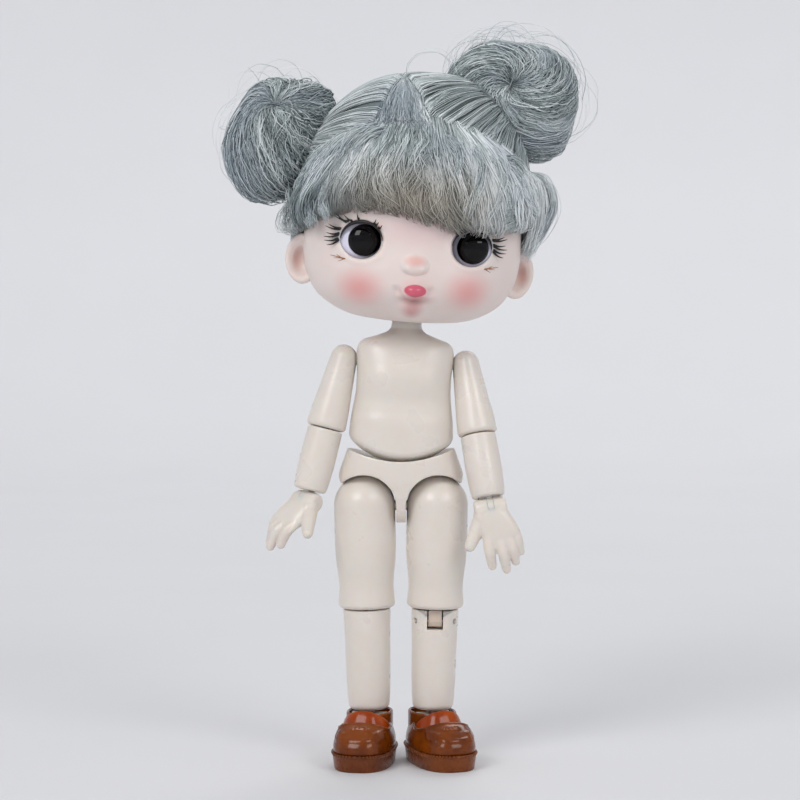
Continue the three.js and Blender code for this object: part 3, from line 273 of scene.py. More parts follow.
def blockTool(low, high):
    (x0, y0, z0), (x1, y1, z1) = low, high
    ring = array([[x0, y0], [x1, y0], [x1, y1], [x0, y1]], float)
    grid = stack([column_stack([ring, np.full(4, z)]) for z in (z0, z1)])
    return shellOf(grid)


def ballTool(radius, at=(0, 0, 0), scale=(1, 1, 1), sides=64):
    angle = linspace(-pi / 2, pi / 2, sides // 2 + 1)[1:-1]
    grid = rings(turnedRows(stack([radius * sin(angle), radius * cos(angle)], -1)), sides)
    points, quads, tris = shellOf(grid)
    points[-2:] = [[0, 0, -radius], [0, 0, radius]]
    return points * array(scale, float) + array(at, float), quads, tris


def sweepTool(inner, up, down, halfHeight, reach, halfThickness):
    # the sector about y that the inner pin needs while the limb is raised
    def at(angle, ahead, left):
        c, s = math.cos(math.radians(angle)), math.sin(math.radians(angle))
        return [-inner * (ahead * c - left * s), ahead * s + left * c]

    first, last = 180 - up, 180 + down
    outline = [at(first, 0, -halfHeight), at(first, reach, -halfHeight)]
    outline += [at(angle, 1.2 * reach, 0) for angle in linspace(first, last, 7)]
    outline += [at(last, reach, halfHeight), at(last, 0, halfHeight)]
    outline = array(outline)[::-1 if inner < 0 else 1]
    grid = stack([np.insert(outline, 1, y, axis=1) for y in (halfThickness, -halfThickness)])
    return shellOf(grid)


# materials
class Finish:
    # one node material: its nodes, its links and its shader
    def __init__(self, name):
        self.material = bpy.data.materials.new(name)
        self.material.use_nodes = True
        self.nodes = self.material.node_tree.nodes
        self.shader = self.nodes["Principled BSDF"]
        self.place = self.nodes.new("ShaderNodeTexCoord").outputs["Object"]

    def join(self, value, socket):
        # another node's output is linked to the socket, anything else is its own value
        if isinstance(value, bpy.types.NodeSocket):
            self.material.node_tree.links.new(value, socket)
        else:
            socket.default_value = value

    def wear(self, sockets, node=None):
        for name, value in sockets.items():
            self.join(value, (node or self.shader).inputs[name])
        return self.material

    def node(self, kind, sockets=(), **options):
        made = self.nodes.new("ShaderNode" + kind)
        for option, value in options.items():
            setattr(made, option, value)
        self.wear(dict(sockets), made)
        return made

    def noise(self, scale, detail=3):
        return self.node("TexNoise", {"Scale": scale, "Detail": detail, "Vector": self.place}).outputs["Fac"]

    def spread(self, value, low, high, smooth=False):
        # a value's range from one interval to another, clamped
        sockets = {"Value": value, "From Min": low[0], "From Max": low[1], "To Min": high[0], "To Max": high[1]}
        kind = "SMOOTHSTEP" if smooth else "LINEAR"
        return self.node("MapRange", sockets, interpolation_type=kind).outputs["Result"]

    def blend(self, factor, first, second):
        mix = self.node("Mix", data_type="RGBA")
        for socket, value in ((mix.inputs["Factor"], factor), (mix.inputs[6], first), (mix.inputs[7], second)):
            self.join(value, socket)
        return mix.outputs[2]

    def bump(self, height, distance, strength):
        return self.node("Bump", {"Strength": strength, "Distance": distance, "Height": height}).outputs["Normal"]

    def attribute(self, name, output="Fac"):
        return self.node("Attribute", attribute_name=name).outputs[output]


def sRGB(red, green, blue):
    values = array([red, green, blue]) / 255
    linear = where(values <= 0.04045, values / 12.92, ((values + 0.055) / 1.055) ** 2.4)
    return (*linear.tolist(), 1)


plastic = {"light": sRGB(229, 222, 214), "deep": sRGB(220, 211, 201), "roughness": (0.25, 0.36),
           "jointLight": sRGB(216, 200, 186), "jointDeep": sRGB(205, 186, 170),
           # noises: cells a metre; the peel's height in metres and its strength
           "mottle": 140, "peel": 900, "peelHeight": 0.00002, "peelStrength": 0.35,
           # how light sinks in: its weight, its share for red, green and blue, and how deep in metres
           "sunk": (0.35, (1, 0.45, 0.2), 0.0016)}
steel = {"light": sRGB(205, 198, 190), "deep": sRGB(168, 160, 152), "grain": 2200, "roughness": (0.28, 0.45),
         "metallic": 0.9}
middleOfNoise = (0.3, 0.7)  # the part of a noise's range that most of it lies in


def sunkLight(weight, radius, depth):
    return {"Subsurface Weight": weight, "Subsurface Radius": radius, "Subsurface Scale": depth}


def plasticMaterial(name, light, deep):
    # moulded plastic: a faint mottle in colour and gloss, a fine orange peel, and light that sinks in a little
    paint = Finish(name)
    mottle = paint.noise(plastic["mottle"])
    peel = paint.noise(plastic["peel"], 2)
    return paint.wear({
        "Base Color": paint.blend(mottle, light, deep),
        "Roughness": paint.spread(mottle, middleOfNoise, plastic["roughness"]),
        "Normal": paint.bump(peel, plastic["peelHeight"], plastic["peelStrength"]),
        **sunkLight(*plastic["sunk"])})


def plainMaterial(name, light, deep, roughness, grain=700, more=()):
    paint = Finish(name)
    fine = paint.noise(grain)
    return paint.wear({"Base Color": paint.blend(fine, light, deep),
                       "Roughness": paint.spread(fine, middleOfNoise, roughness), **dict(more)})


skinPlastic = plasticMaterial("skinPlastic", plastic["light"], plastic["deep"])
jointPlastic = plasticMaterial("jointPlastic", plastic["jointLight"], plastic["jointDeep"])
pinSteel = plainMaterial("pinSteel", steel["light"], steel["deep"], steel["roughness"], steel["grain"],
                         {"Metallic": steel["metallic"]})


def dress(obj, material):
    obj.data.materials.clear()
    obj.data.materials.append(material)


def finishSkin(obj, body, node=None):
    finishPiece(obj, body, skinPlastic, [node or body])


def finishPiece(obj, body, material, nodes=()):
    dress(obj, material)
    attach(obj, body)
    if nodes:
        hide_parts(*nodes)
    return obj


# legs
thigh = {"length": 23.9, "dome": 7.1, "rim": 6.6, "edge": 1.1, "flat": 3, "columns": 96,
         "side": [[-21.6, 6.52], [-19, 6.33], [-16.5, 6.5], [-12.5, 6.95], [-7.5, 7.14], [-2.5, 7.12]]}
# "up" and "down" are the degrees that a limb is raised out to the side and crossed over by
hip = {"hub": 2.6, "hubHalf": 2.2, "trunnion": 1, "trunnionReach": 5, "axle": 1.2, "up": 47, "down": 5}
knee = {"offset": 2.8, "drop": 2.9, "stem": 2, "stemLength": 9, "collar": 4, "collarHeight": 1.6,
        "tongue": 3.1, "tongueRadius": 1.5, "pin": 0.55}
shin = {"length": 23.8, "top": 5.5, "topEdge": 0.35, "end": 4.8, "edge": 1.3, "flat": 2.5, "columns": 96,
        "side": [[0.16, 5], [0.35, 5.16], [0.6, 5.25], [0.85, 5.4]]}
ankle = {"stem": 1.5, "stemLength": 6, "collar": 2.6, "collarHeight": 1.1, "drop": 4, "offset": 0}


past = 1.5  # how far a cutting tool reaches past the face that it opens
middleHole = 0.3  # radius of the innermost ring of a flat end


def connectorBores(size, rim, at=(0, 0)):
    # the collar's seat and the stem's bore of the connector below a limb
    return [
        barTool("z", size["collar"] + gap, rim - past, rim + size["collarHeight"] + gap, (*at, 0)),
        barTool("z", size["stem"] + gap, rim, rim + size["stemLength"] + gap, (*at, 0)),
    ]


def lowEdge(height, radius, edge, flat):
    # [height, radius] pairs of a flat end with a rounded edge
    bend = corner((height + edge, radius - edge), edge, -90, 0)
    return vstack([[height, middleHole], [height, flat], bend])


def highEdge(height, radius, edge, flat):
    bend = corner((height - edge, radius - edge), edge, 0, 90, 5)
    return vstack([bend, [[height, flat], [height, middleHole]]])


def turnedLimb(lowPart, side, highPart, columns, shift=(0, 0)):
    # bottom edge, monotone side curve and dome or top edge, joined into one profile and turned
    side = np.asarray(side, float)
    joined = vstack([lowPart[-1:], side, highPart[:1]])
    heights = linspace(joined[0, 0], joined[-1, 0], 46)[1:-1]
    middle = column_stack([heights, smoothCurve(joined[:, 0], joined[:, 1], heights)])
    rows = turnedRows(vstack([lowPart, middle, highPart]))
    rows[:, 4], rows[:, 5] = shift
    return rings(rows, columns)


def makeThigh(tag, side):
    rim = -thigh["length"]
    low = lowEdge(rim, thigh["rim"], thigh["edge"], thigh["flat"])
    high = corner((0, 0), thigh["dome"], 0, 88, 22)
    obj = meshObject("thighShell_" + tag, shellOf(turnedLimb(low, thigh["side"], high, thigh["columns"])),
                     places["thigh_" + tag])
    reach = thigh["dome"] + past
    tools = [
        barTool("y", hip["hub"] + gap, -hip["hubHalf"] - gap, hip["hubHalf"] + gap),
        barTool("y", hip["trunnion"] + gap, -hip["trunnionReach"] - gap, hip["trunnionReach"] + gap),
        sweepTool(-side, hip["up"], hip["down"], hip["axle"] + gap, reach, hip["axle"] + gap),
        *connectorBores(knee, rim),
    ]
    carve(obj, tools, places["thigh_" + tag])
    finishSkin(obj, "thigh_" + tag)


def hingeTools(size, bendSide, limbRadius, sleeveRadius):
    # slot for the tongue, the round that lets the limb pass the sleeve above it, and the pin's hole
    half = size["tongue"] / 2 + gap
    far = -bendSide * (size["stem"] + gap + size["offset"])
    reach = 2 * sleeveRadius
    low, high = sorted([far, bendSide * reach])
    slot = blockTool([-half, low, -size["tongueRadius"] - gap], [half, high, reach])
    crown = size["drop"] - gap
    angle = radians(linspace(0, 90, 17))
    arc = stack([bendSide * crown * sin(angle), crown * cos(angle)], -1)
    outline = vstack([arc, [[bendSide * reach, 0], [bendSide * reach, reach], [0, reach]]])
    outline = outline[::-1 if bendSide > 0 else 1]
    wide = reach + past
    grid = stack([np.insert(outline, 0, x, axis=1) for x in (-wide, wide)])
    pin = barTool("x", size["pin"] + gap / 2, -limbRadius - past, limbRadius + past)
    return [slot, shellOf(grid), pin]


def makeLowerLimb(name, tag, size, joint, below, bendSide, sleeveRadius):
    # the turned limb hangs to one side of the joint's pin, so that it can fold against the limb above
    top, end = joint["drop"] - gap, joint["drop"] - size["length"]
    shift = (0, -bendSide * joint["offset"])
    low = lowEdge(end, size["end"], size["edge"], size["flat"])
    high = highEdge(top, size["top"], size["topEdge"], size["flat"])
    side = [[end + share * size["length"], radius] for share, radius in size["side"]]
    place = places[f"{name}_{tag}"]
    obj = meshObject(f"{name}Shell_{tag}", shellOf(turnedLimb(low, side, high, size["columns"], shift)), place)
    tools = hingeTools(joint, bendSide, size["top"], sleeveRadius) + connectorBores(below, end, shift)
    carve(obj, tools, place)
    finishSkin(obj, f"{name}_{tag}")


for tag, side in sides:
    makeThigh(tag, side)
    makeLowerLimb("shin", tag, shin, knee, ankle, 1, thigh["rim"])
print("legs made")

# arms
upperArm = {"length": 16.9, "domeWidth": 3.1, "domeDepth": 3.6, "rim": 4.6, "edge": 0.9, "flat": 2, "columns": 80,
            # share of the height, half width, half depth
            "rows": [[0.055, 4.6, 4.6], [0.2, 4.45, 4.5], [0.5, 3.95, 4.15], [0.8, 3.45, 3.8], [1, 3.1, 3.6]]}
shoulder = {"peg": 1.5, "tongueRadius": 2.3, "tongue": 1.8, "trunnion": 0.7, "trunnionReach": 2.6, "up": 94,
            "down": 16}
elbow = {"offset": 1.6, "drop": 2.9, "stem": 1.5, "stemLength": 6.5, "collar": 2.8, "collarHeight": 1.2,
         "tongue": 2, "tongueRadius": 1.3, "pin": 0.45}
forearm = {"length": 14.9, "top": 4.1, "topEdge": 0.3, "end": 3.85, "edge": 0.8, "flat": 2, "columns": 80,
           "side": [[0.12, 3.98], [0.3, 4.12], [0.5, 4.2], [0.8, 4.14]]}
wrist = {"drop": 2.5, "offset": 0, "stem": 1.2, "stemLength": 4, "collar": 2.3, "collarHeight": 0.9,
         "tongue": 1.4, "pin": 0.4}


def makeUpperArm(tag, side):
    # half width and half depth follow their own monotone curves up to a dome
    size, rim, edge = upperArm, -upperArm["length"], upperArm["edge"]
    shares = array(size["rows"])
    heights = linspace(rim + edge, 0, 44)
    middle = smoothCurve(rim * (1 - shares[:, 0]), shares[:, 1:], heights)
    angle = radians(linspace(-90, 0, 8)[:-1])
    edgeRow = [[rim + edge + edge * s, size["rim"] - edge + edge * c, size["rim"] - edge + edge * c]
               for s, c in zip(sin(angle), cos(angle))]
    domeAngle = radians(linspace(0, 88, 20)[1:])
    dome = [[size["domeWidth"] * s, size["domeWidth"] * c, size["domeDepth"] * c]
            for s, c in zip(sin(domeAngle), cos(domeAngle))]
    flat = [[rim, middleHole, middleHole], [rim, size["flat"], size["flat"]]]
    rows = vstack([flat, edgeRow, column_stack([heights, middle]), dome])
    rows = column_stack([rows, rows[:, 2], 0 * rows[:, 0], 0 * rows[:, 0]])
    place = places["upper_arm_" + tag]
    obj = meshObject("upperArmShell_" + tag, shellOf(rings(rows, size["columns"])), place)
    half = shoulder["tongue"] / 2 + gap
    tools = [
        barTool("y", shoulder["tongueRadius"] + gap, -half, half),
        sweepTool(-side, shoulder["up"], shoulder["down"], shoulder["peg"] + gap, size["length"] / 2, half),
        barTool("y", shoulder["trunnion"] + gap, -shoulder["trunnionReach"] - gap, shoulder["trunnionReach"] + gap),
        *connectorBores(elbow, rim),
    ]
    carve(obj, tools, place)
    finishSkin(obj, "upper_arm_" + tag)


for tag, side in sides:
    makeUpperArm(tag, side)
    makeLowerLimb("forearm", tag, forearm, elbow, wrist, -1, upperArm["rim"])
print("arms made")

# torso and pelvis
torso = {"bottomDrop": 6.2, "bottomRadius": 16.2, "wall": 1.6, "shoulderHeight": 17.5, "neckTop": 27.6,
         "neckRadius": 3.4, "neckBore": 8.6, "power": 2.5, "columns": 144, "voxel": 0.26,
         # height, half width, front, back
         "rows": [[0.6, 12.1, 7.85, 7.9], [3.5, 11.9, 7.75, 7.9], [6, 11.55, 7.25, 7.7], [8.5, 11.2, 6.95, 7.5],
                  [11, 10.98, 7.25, 7.35], [14, 10.98, 7.5, 7.2], [17, 11.2, 7.1, 7], [19.4, 11.3, 6.5, 6.4],
                  [21, 10.95, 5.9, 5.7], [22.1, 9.9, 5.3, 5.1], [23.2, 6.9, 4.6, 4.5], [24.3, 4.4, 3.95, 3.95],
                  [25.4, 3.55, 3.5, 3.5], [27.6, 3.4, 3.4, 3.4]],
         # the hem's rounded edge, the share that it draws in by, and the belly's rings below it as shares of the hem
         "fillet": 0.9, "drawIn": 0.075, "belly": (0.86, 0.75, 0.6, 0.45, 0.3, 0.15),
         # each swell of the chest: its place, height and reach to the side and up
         "swellX": 5.6, "swellZ": 13.4, "swell": 0.35, "swellWide": 3.4, "swellTall": 2.6,
         # the hollow is the same shape, drawn in towards this middle over these half spans
         "middle": (0, 0, 10), "spans": (12.1, 7.9, 17)}
waist = {"ball": 3, "mouth": 2.6, "socket": 4.9, "stem": 1.5, "flange": 2.2, "flangeLow": -10.9, "flangeHigh": -10}
neck = {"stem": 1.5, "hole": 5.5, "ball": 3.4}
armSeat = {"halfSpan": 14.2, "radii": (3.4, 3.9, 3.9), "boss": 3, "bossInner": 6.7}
farOut = 30  # longer than any wall that a tool goes through
pelvis = {"tipHalfWidth": 14.6, "front": 7.6, "back": 8.9, "power": 2.4, "cupLow": -6.7, "cupRadius": 21.6,
          "hipDrop": 16.1, "hipHalfSpan": 8.5, "coverLift": 2.6, "columns": 144,
          # height, shares of half width, front and back
          "rows": [[-20, 0.2, 0.3, 0.3], [-19.7, 0.3, 0.5, 0.45], [-18.4, 0.4, 0.7, 0.62], [-16.1, 0.6, 0.85, 0.8],
                   [-12.6, 0.9, 0.96, 0.97], [-9.9, 0.985, 1, 1], [-9.3, 0.99, 1, 1], [-4.8, 0.9, 0.97, 0.95],
                   [-0.9, 0.81, 0.9, 0.86]]}


def torsoGrid(inset):
    # walls follow the rows' curves; below them a rounded edge leads to a belly that is part of a ball,
    # z = centre - sqrt(radius^2 - x^2 - y^2)
    size = torso
    table = array(size["rows"], float)
    heights = concatenate([linspace(0.6, 21, 52), linspace(21, 25.4, 34)[1:], [26.5, 27.6 - inset]])
    rows = column_stack([heights, smoothCurve(table[:, 0], table[:, 1:], heights), 0 * heights, 0 * heights])
    neckward = clip((heights - 21.5) / 3.5, 0, 1)
    grid = rings(rows, size["columns"], size["power"] + (2 - size["power"]) * neckward)
    hem = grid[0].copy()
    centre = size["bottomRadius"] - size["bottomDrop"]

    def belly(ring):
        return centre - np.sqrt(size["bottomRadius"] ** 2 - (ring[..., :2] ** 2).sum(-1))

    below = []
    for turn in radians(linspace(0, 90, 8)):
        ring = hem.copy()
        ring[:, :2] *= 1 - size["drawIn"] * (1 - math.cos(turn))
        ring[:, 2] = belly(ring) + size["fillet"] * (1 - math.sin(turn))
        below.append(ring)
    for share in size["belly"]:
        ring = hem.copy()
        ring[:, :2] *= share
        ring[:, 2] = belly(ring)
        below.append(ring)
    grid = concatenate([array(below)[::-1], grid])
    # soft swells of the chest, each a bell curve
    for side in (-1, 1):
        away = (((grid[..., 0] - side * size["swellX"]) / size["swellWide"]) ** 2
                + ((grid[..., 2] - size["swellZ"]) / size["swellTall"]) ** 2)
        grid[..., 1] -= where(grid[..., 1] < 0, size["swell"] * exp(-away), 0)
    if inset:
        middle = array(size["middle"])
        grid = middle + (grid - middle) * (1 - inset / array(size["spans"]))
    return grid


def split(obj, seam, place, names, reach=80, seamGap=0.07):
    # two halves of a moulded shell, in front of and behind a seam
    made = []
    for name, (near, far) in zip(names, ((-reach, seam - seamGap / 2), (seam + seamGap / 2, reach))):
        half = obj.copy()
        half.data = obj.data.copy()
        half.name = half.data.name = name
        bpy.context.scene.collection.objects.link(half)
        carve(half, [blockTool((-reach, near, -reach), (reach, far, reach))], place, "INTERSECT")
        made.append(half)
    removeObject(obj)
    return made


def soften(obj, voxel, rounds, factor=0.5, sharp=180):
    # moulded edges: the surface is rebuilt in small cells and relaxed
    remesh = obj.modifiers.new("cells", "REMESH")
    remesh.mode, remesh.voxel_size = "VOXEL", voxel * mm
    relax = obj.modifiers.new("relax", "SMOOTH")
    relax.iterations, relax.factor = rounds, factor
    settle(obj, sharp)


def makeTorso():
    place, size = places["torso"], torso
    obj = meshObject("torsoShell", shellOf(torsoGrid(0)), place)
    hollow = meshObject("torsoHollow", shellOf(torsoGrid(size["wall"])), place)
    bosses = [barTool("x", armSeat["boss"], *sorted((side * armSeat["bossInner"], side * farOut)),
                      (0, 0, size["shoulderHeight"])) for side in (-1, 1)]
    bosses += [barTool("z", size["neckRadius"] + 0.4, size["neckTop"] - size["neckBore"], 40),
               ballTool(waist["socket"]), barTool("z", waist["socket"], -farOut, 0)]
    carve(hollow, bosses, place)
    seats = [ballTool(1, (side * armSeat["halfSpan"], 0, size["shoulderHeight"]), armSeat["radii"])
             for side in (-1, 1)]
    tools = [hollow, barTool("x", shoulder["peg"] + gap, -farOut, farOut, (0, 0, size["shoulderHeight"])), *seats,
             barTool("z", neck["stem"] + gap, size["neckTop"] - size["neckBore"] - past, 40),
             ballTool(waist["ball"] + gap), barTool("z", waist["mouth"], -farOut, 0)]
    carve(obj, tools, place)
    for half, name in zip(split(obj, 0, place, ("torsoFrontShell", "torsoBackShell")), ("torso_front", "torso_back")):
        finishSkin(half, "torso", name)


def hipRoomTools(side):
    # room for a thigh: its dome, its swing to the front, and all that is below it
    size, radius = pelvis, thigh["dome"] + gap
    x, z = side * size["hipHalfSpan"], -size["hipDrop"]
    far, cover = 40, -size["hipDrop"] + size["coverLift"]
    low, high = sorted((0, side * far))
    return [
        ballTool(radius, (x, 0, z)),
        barTool("y", radius, -far, 0, (x, 0, z), 96),
        blockTool((x - radius, -far, z - far), (x + radius, 0, z)),
        blockTool((x - radius, -past, z - far), (x + radius, far, cover)),
        blockTool((x + low, -far, z - far), (x + high, far, cover)),
    ]


def makePelvis():
    place, size = places["pelvis"], pelvis
    table = array(size["rows"], float)
    heights = linspace(table[0, 0], table[-1, 0], 60)
    shares = smoothCurve(table[:, 0], table[:, 1:], heights) * [size["tipHalfWidth"], size["front"], size["back"]]
    rows = column_stack([heights, shares, 0 * heights, 0 * heights])
    obj = meshObject("pelvisShell", shellOf(rings(rows, size["columns"], size["power"])), place)
    tools = [ballTool(size["cupRadius"], (0, 0, size["cupLow"] + size["cupRadius"]), sides=128)]
    tools += hipRoomTools(1) + hipRoomTools(-1)
    carve(obj, tools, place)
    soften(obj, torso["voxel"], 4)
    carve(obj, [barTool("z", waist["flange"] + gap, waist["flangeLow"] - gap, waist["flangeHigh"] + gap),
                barTool("z", waist["stem"] + gap, waist["flangeLow"], 0),
                barTool("x", hip["axle"] + gap, -20, 20, (0, 0, -size["hipDrop"]))], place)
    names = ("pelvisFrontShell", "pelvisBackShell")
    for half, name in zip(split(obj, 0, place, names), ("pelvis_front", "pelvis_back")):
        finishSkin(half, "pelvis", name)


makeTorso()
makePelvis()
print("torso and pelvis made")

# hands: measured from the wrist's pin
hand = {"length": 8.2, "stub": 3.75, "dome": 2.4, "pinSeat": {"r": 3.42, "l": 6}, "play": 0.05,
        # a close fit, and how far the wrist joint's disc stays below the roller's skin
        "close": 0.02, "sunk": 0.04,
        # the power of the cosine that rounds the wrist roller's ends
        "rounding": {"r": 0.3, "l": 0.17},
        # height, half width, half depth, shift to the side, all as shares of the length
        "palm": [[-1.18, 0.28, 0.05, 0.06], [-1.04, 0.42, 0.11, 0.13], [-0.8, 0.54, 0.2, 0.17], [-0.5, 0.53, 0.26, 0.1],
                 [-0.25, 0.48, 0.285, 0.04], [-0.05, 0.45, 0.285, 0], [0.05, 0.44, 0.26, 0]],
        # the wrist is squarer than the palm, so that it runs on from the roller
        "wrist": [[-0.46, 0.4, 0.18, 0.06], [-0.25, 0.45, 0.255, 0.03], [-0.1, 0.455, 0.285, 0],
                  [0.02, 0.452, 0.285, 0]],
        "power": {"palm": 2.6, "wrist": 4.5}, "voxel": 0.18,
        # each finger's way: outward, down and backward as shares of the length, and its radius in millimetres
        "fingers": [
            [[-0.18, 0.1, 0.02, 2.15], [-0.44, 0.5, 0.05, 1.85], [-0.74, 0.97, 0.09, 1.3]],
            [[-0.18, 0.7, 0, 1.35], [-0.22, 1.14, 0.02, 1.35], [-0.2, 1.58, 0.28, 1.05]],
            [[0.08, 0.75, 0, 1.35], [0.14, 1.24, 0.02, 1.35], [0.18, 1.74, 0.3, 1.05]],
            [[0.33, 0.72, 0, 1.3], [0.41, 1.14, 0.02, 1.28], [0.47, 1.56, 0.28, 1.03]],
            [[0.52, 0.62, 0, 1.2], [0.61, 0.96, 0.02, 1.15], [0.65, 1.32, 0.23, 0.95]],
        ],
        # below the knuckles the fingers' length is this share, and they lean outward by these shares of it
        "knuckles": 0.7, "curl": {"r": 0.82, "l": 1},
        "lean": {"r": [0, 0.34, 0.24, 0.1, -0.05], "l": [0, 0, 0, 0, 0]},
        # the ball of the thumb: centre as outward and down, half axes in millimetres
        "thumbBall": [[2.5, 1.9], [1.75, 2.05, 2.7]]}


def tubeAlong(path, radii, sides=16, roundEnds=True):
    # rings across a smooth path, each turned least from the one before, with round ends
    path, radii = np.asarray(path, float), np.asarray(radii, float)
    tangent = unit(np.gradient(path, axis=0))
    side = unit(cross(tangent[0], [0.31, 0.87, 0.39]))
    frames = []
    for t in tangent:
        side = unit(side - t * np.dot(side, t))
        frames.append([side, cross(t, side)])
    frames = array(frames)
    if roundEnds:
        turn = radians(array([80, 60, 40, 20]))
        head = path[-1] + sin(turn[::-1])[:, None] * radii[-1] * tangent[-1]
        tail = path[0] - sin(turn)[:, None] * radii[0] * tangent[0]
        path = vstack([tail, path, head])
        radii = concatenate([cos(turn) * radii[0], radii, cos(turn[::-1]) * radii[-1]])
        frames = concatenate([np.repeat(frames[:1], 4, 0), frames, np.repeat(frames[-1:], 4, 0)])
    angle = 2 * pi * arange(sides) / sides
    across = cos(angle)[None, :, None] * frames[:, None, 0] + sin(angle)[None, :, None] * frames[:, None, 1]
    return shellOf(path[:, None] + radii[:, None, None] * across)


def makeHand(tag, side):
    place, size = places["hand_" + tag], hand
    length = size["length"]
    table = array(size["palm"]) * length
    heights = linspace(table[0, 0], table[-1, 0], 30)
    values = smoothCurve(table[:, 0], table[:, 1:], heights)
    rows = column_stack([heights, values[:, 0], values[:, 1], values[:, 1], side * values[:, 2], 0 * heights])
    # the wrist is a roller with rounded edges: its radius follows a power of the cosine along the pin
    turn = radians(linspace(-88, 88, 25))
    along = column_stack([size["stub"] * sin(turn), 0 * turn, 0 * turn])
    roller = tubeAlong(along, size["dome"] * cos(turn) ** size["rounding"][tag], 48, False)
    table = array(size["wrist"]) * length
    block = column_stack([table[:, :3], table[:, 2], side * table[:, 3], 0 * table[:, 0]])
    (out, down), halfAxes = size["thumbBall"]
    shells = [shellOf(rings(rows, 48, size["power"]["palm"])), shellOf(rings(block, 48, size["power"]["wrist"])),
              roller, ballTool(1, (-side * out, 0, -down), halfAxes, 48)]
    for number, way in enumerate(size["fingers"]):
        way = array(way)
        if number:
            below = clip(way[:, 1] - size["knuckles"], 0, None)
            way[:, 1] -= below * (1 - size["curl"][tag])
            way[:, 0] += below * size["lean"][tag][number]
        at = linspace(0, 1, 14)
        points = smoothCurve([0, 0.52, 1], way, at)
        path = column_stack([side * points[:, 0], points[:, 2], -points[:, 1]]) * length
        shells.append(tubeAlong(path, points[:, 3]))
    obj = meshObject("handShell_" + tag, together(*shells), place)
    soften(obj, size["voxel"], 6)
    # the slot that the wrist joint's disc turns in, and the pin's bore
    half = wrist["tongue"] / 2 + size["play"]
    tools = [barTool("x", size["dome"] + size["close"], -half, half, sides=96),
             barTool("x", wrist["pin"] + size["close"], -size["pinSeat"][tag], size["pinSeat"][tag])]
    carve(obj, tools, place, sharp=50)
    finishSkin(obj, "hand_" + tag)


def makeWristJoint(tag):
    # a stem in the forearm and a disc on the hand's pin that is flush with the roller on both its sides
    place, size = places["hand_" + tag].tilted("X", -rest["handTilt"][tag]), wrist
    rim, half = size["drop"], size["tongue"] / 2
    shells = [barTool("z", size["collar"], rim, rim + size["collarHeight"]),
              barTool("z", size["stem"], rim, rim + size["stemLength"]),
              blockTool((-half, -size["stem"], 0), (half, size["stem"], rim + size["collarHeight"] / 2)),
              barTool("x", hand["dome"] - hand["sunk"], -half, half, sides=96)]
    obj = meshObject("wristJoint_" + tag, shells[0], place)
    carve(obj, shells[1:], place, operation="UNION")
    carve(obj, [barTool("x", size["pin"] + hand["close"], -2 * half, 2 * half)], place)
    finishSkin(obj, "wrist_joint_" + tag)


for tag, side in sides:
    makeHand(tag, side)
    makeWristJoint(tag)
print("hands made")

# shoes: heights are measured from the floor, depths from the ankle
shoe = {"length": 26, "half": 7.7, "heelHalf": 6.6, "heelReach": 8.6, "sole": 3.9, "collar": 10.7, "wall": 1.3,
        "welt": 0.7, "power": 2.5, "shinEnd": 4.8, "voxel": 0.2,
        # share of the rise over the welt, shares of front, back and width
        "rows": [[0, 1, 1, 1.02], [0.12, 1.01, 1.005, 1.03], [0.3, 0.985, 0.99, 1.015],
                 [0.46, 0.935, 0.98, 0.97], [0.6, 0.855, 0.97, 0.925], [0.74, 0.75, 0.96, 0.88],
                 [0.87, 0.62, 0.945, 0.845], [0.95, 0.52, 0.935, 0.83], [1, 0.45, 0.925, 0.82]],
        # the line that the vamp ends at: heights over the way to the heel, high on the instep, low beside the tongue
        "vampWay": [-10.35, -10.3, -7.5, -5, -2, 1.5, 30], "vampEdge": [30, 10.05, 9, 8.8, 9.4, 10.4, 11],
        # radii of the bead along that line, the toe cap's ridge and its gathers, and the ridge's height
        "bead": 0.5, "ridge": 0.22, "gather": 0.36, "capLow": 7.4, "capRise": 0.9, "capSpan": 62,
        # the bow: its height, then each lobe's place to the side, half width and half height
        "bowHeight": 9.55, "bow": [(-1.15, 1, 0.55), (1.15, 1, 0.55), (0, 0.5, 0.5)],
        "opening": {"front": 9.7, "power": 2.2}, "stitches": 62, "soleInset": 0.3, "stitchOut": 0.34, "stitchUp": 0.2}
shoeTongue = {"half": 5.6, "low": 8.3, "rise": 4.6, "spread": 84, "root": 3.2, "ahead": 2.52, "lean": 0.38,
              "leanFrom": 12.9, "wrap": 5.4, "bulge": 0.5, "thick": 0.4, "voxel": 0.22}
shoeRim = {"half": 4.95, "front": 6.35, "back": 6.6, "power": 0.9, "low": 7.6, "top": 11.8, "dip": 0.6, "thick": 0.4,
           "thinner": 0.1, "edge": 0.3}


def shoeRings(rows, inset, columns):
    # egg outline: half width blends from heel to toe, x = half * cos^(2/power), y = depth * sin^(2/power)
    size = shoe
    angle = 2 * pi * arange(columns) / columns
    c, s = cos(angle), sin(angle)
    along, across = signedPower(s, 2 / size["power"]), signedPower(c, 2 / size["power"])
    rows = np.asarray(rows, float)[:, :, None]
    half = (size["heelHalf"] + (size["half"] - size["heelHalf"]) * (1 - along) / 2) * rows[:, 3] - inset
    depth = where(s < 0, rows[:, 1], rows[:, 2]) * size["length"] / 2 - inset
    middle = size["heelReach"] - size["length"] / 2
    return stack([half * across, middle + depth * along, rows[:, 0] + 0 * half], -1)


def upperGrid(inset, low, lift, columns=160, rowCount=34):
    size = shoe
    bottom = size["sole"] + gap
    table = array(size["rows"])
    share = linspace(0, 1, rowCount)
    values = smoothCurve(table[:, 0], table[:, 1:], share)
    heights = bottom + share * (size["collar"] - bottom) - lift * share
    heights[0] = low
    return shoeRings(column_stack([heights, values]), inset, columns)


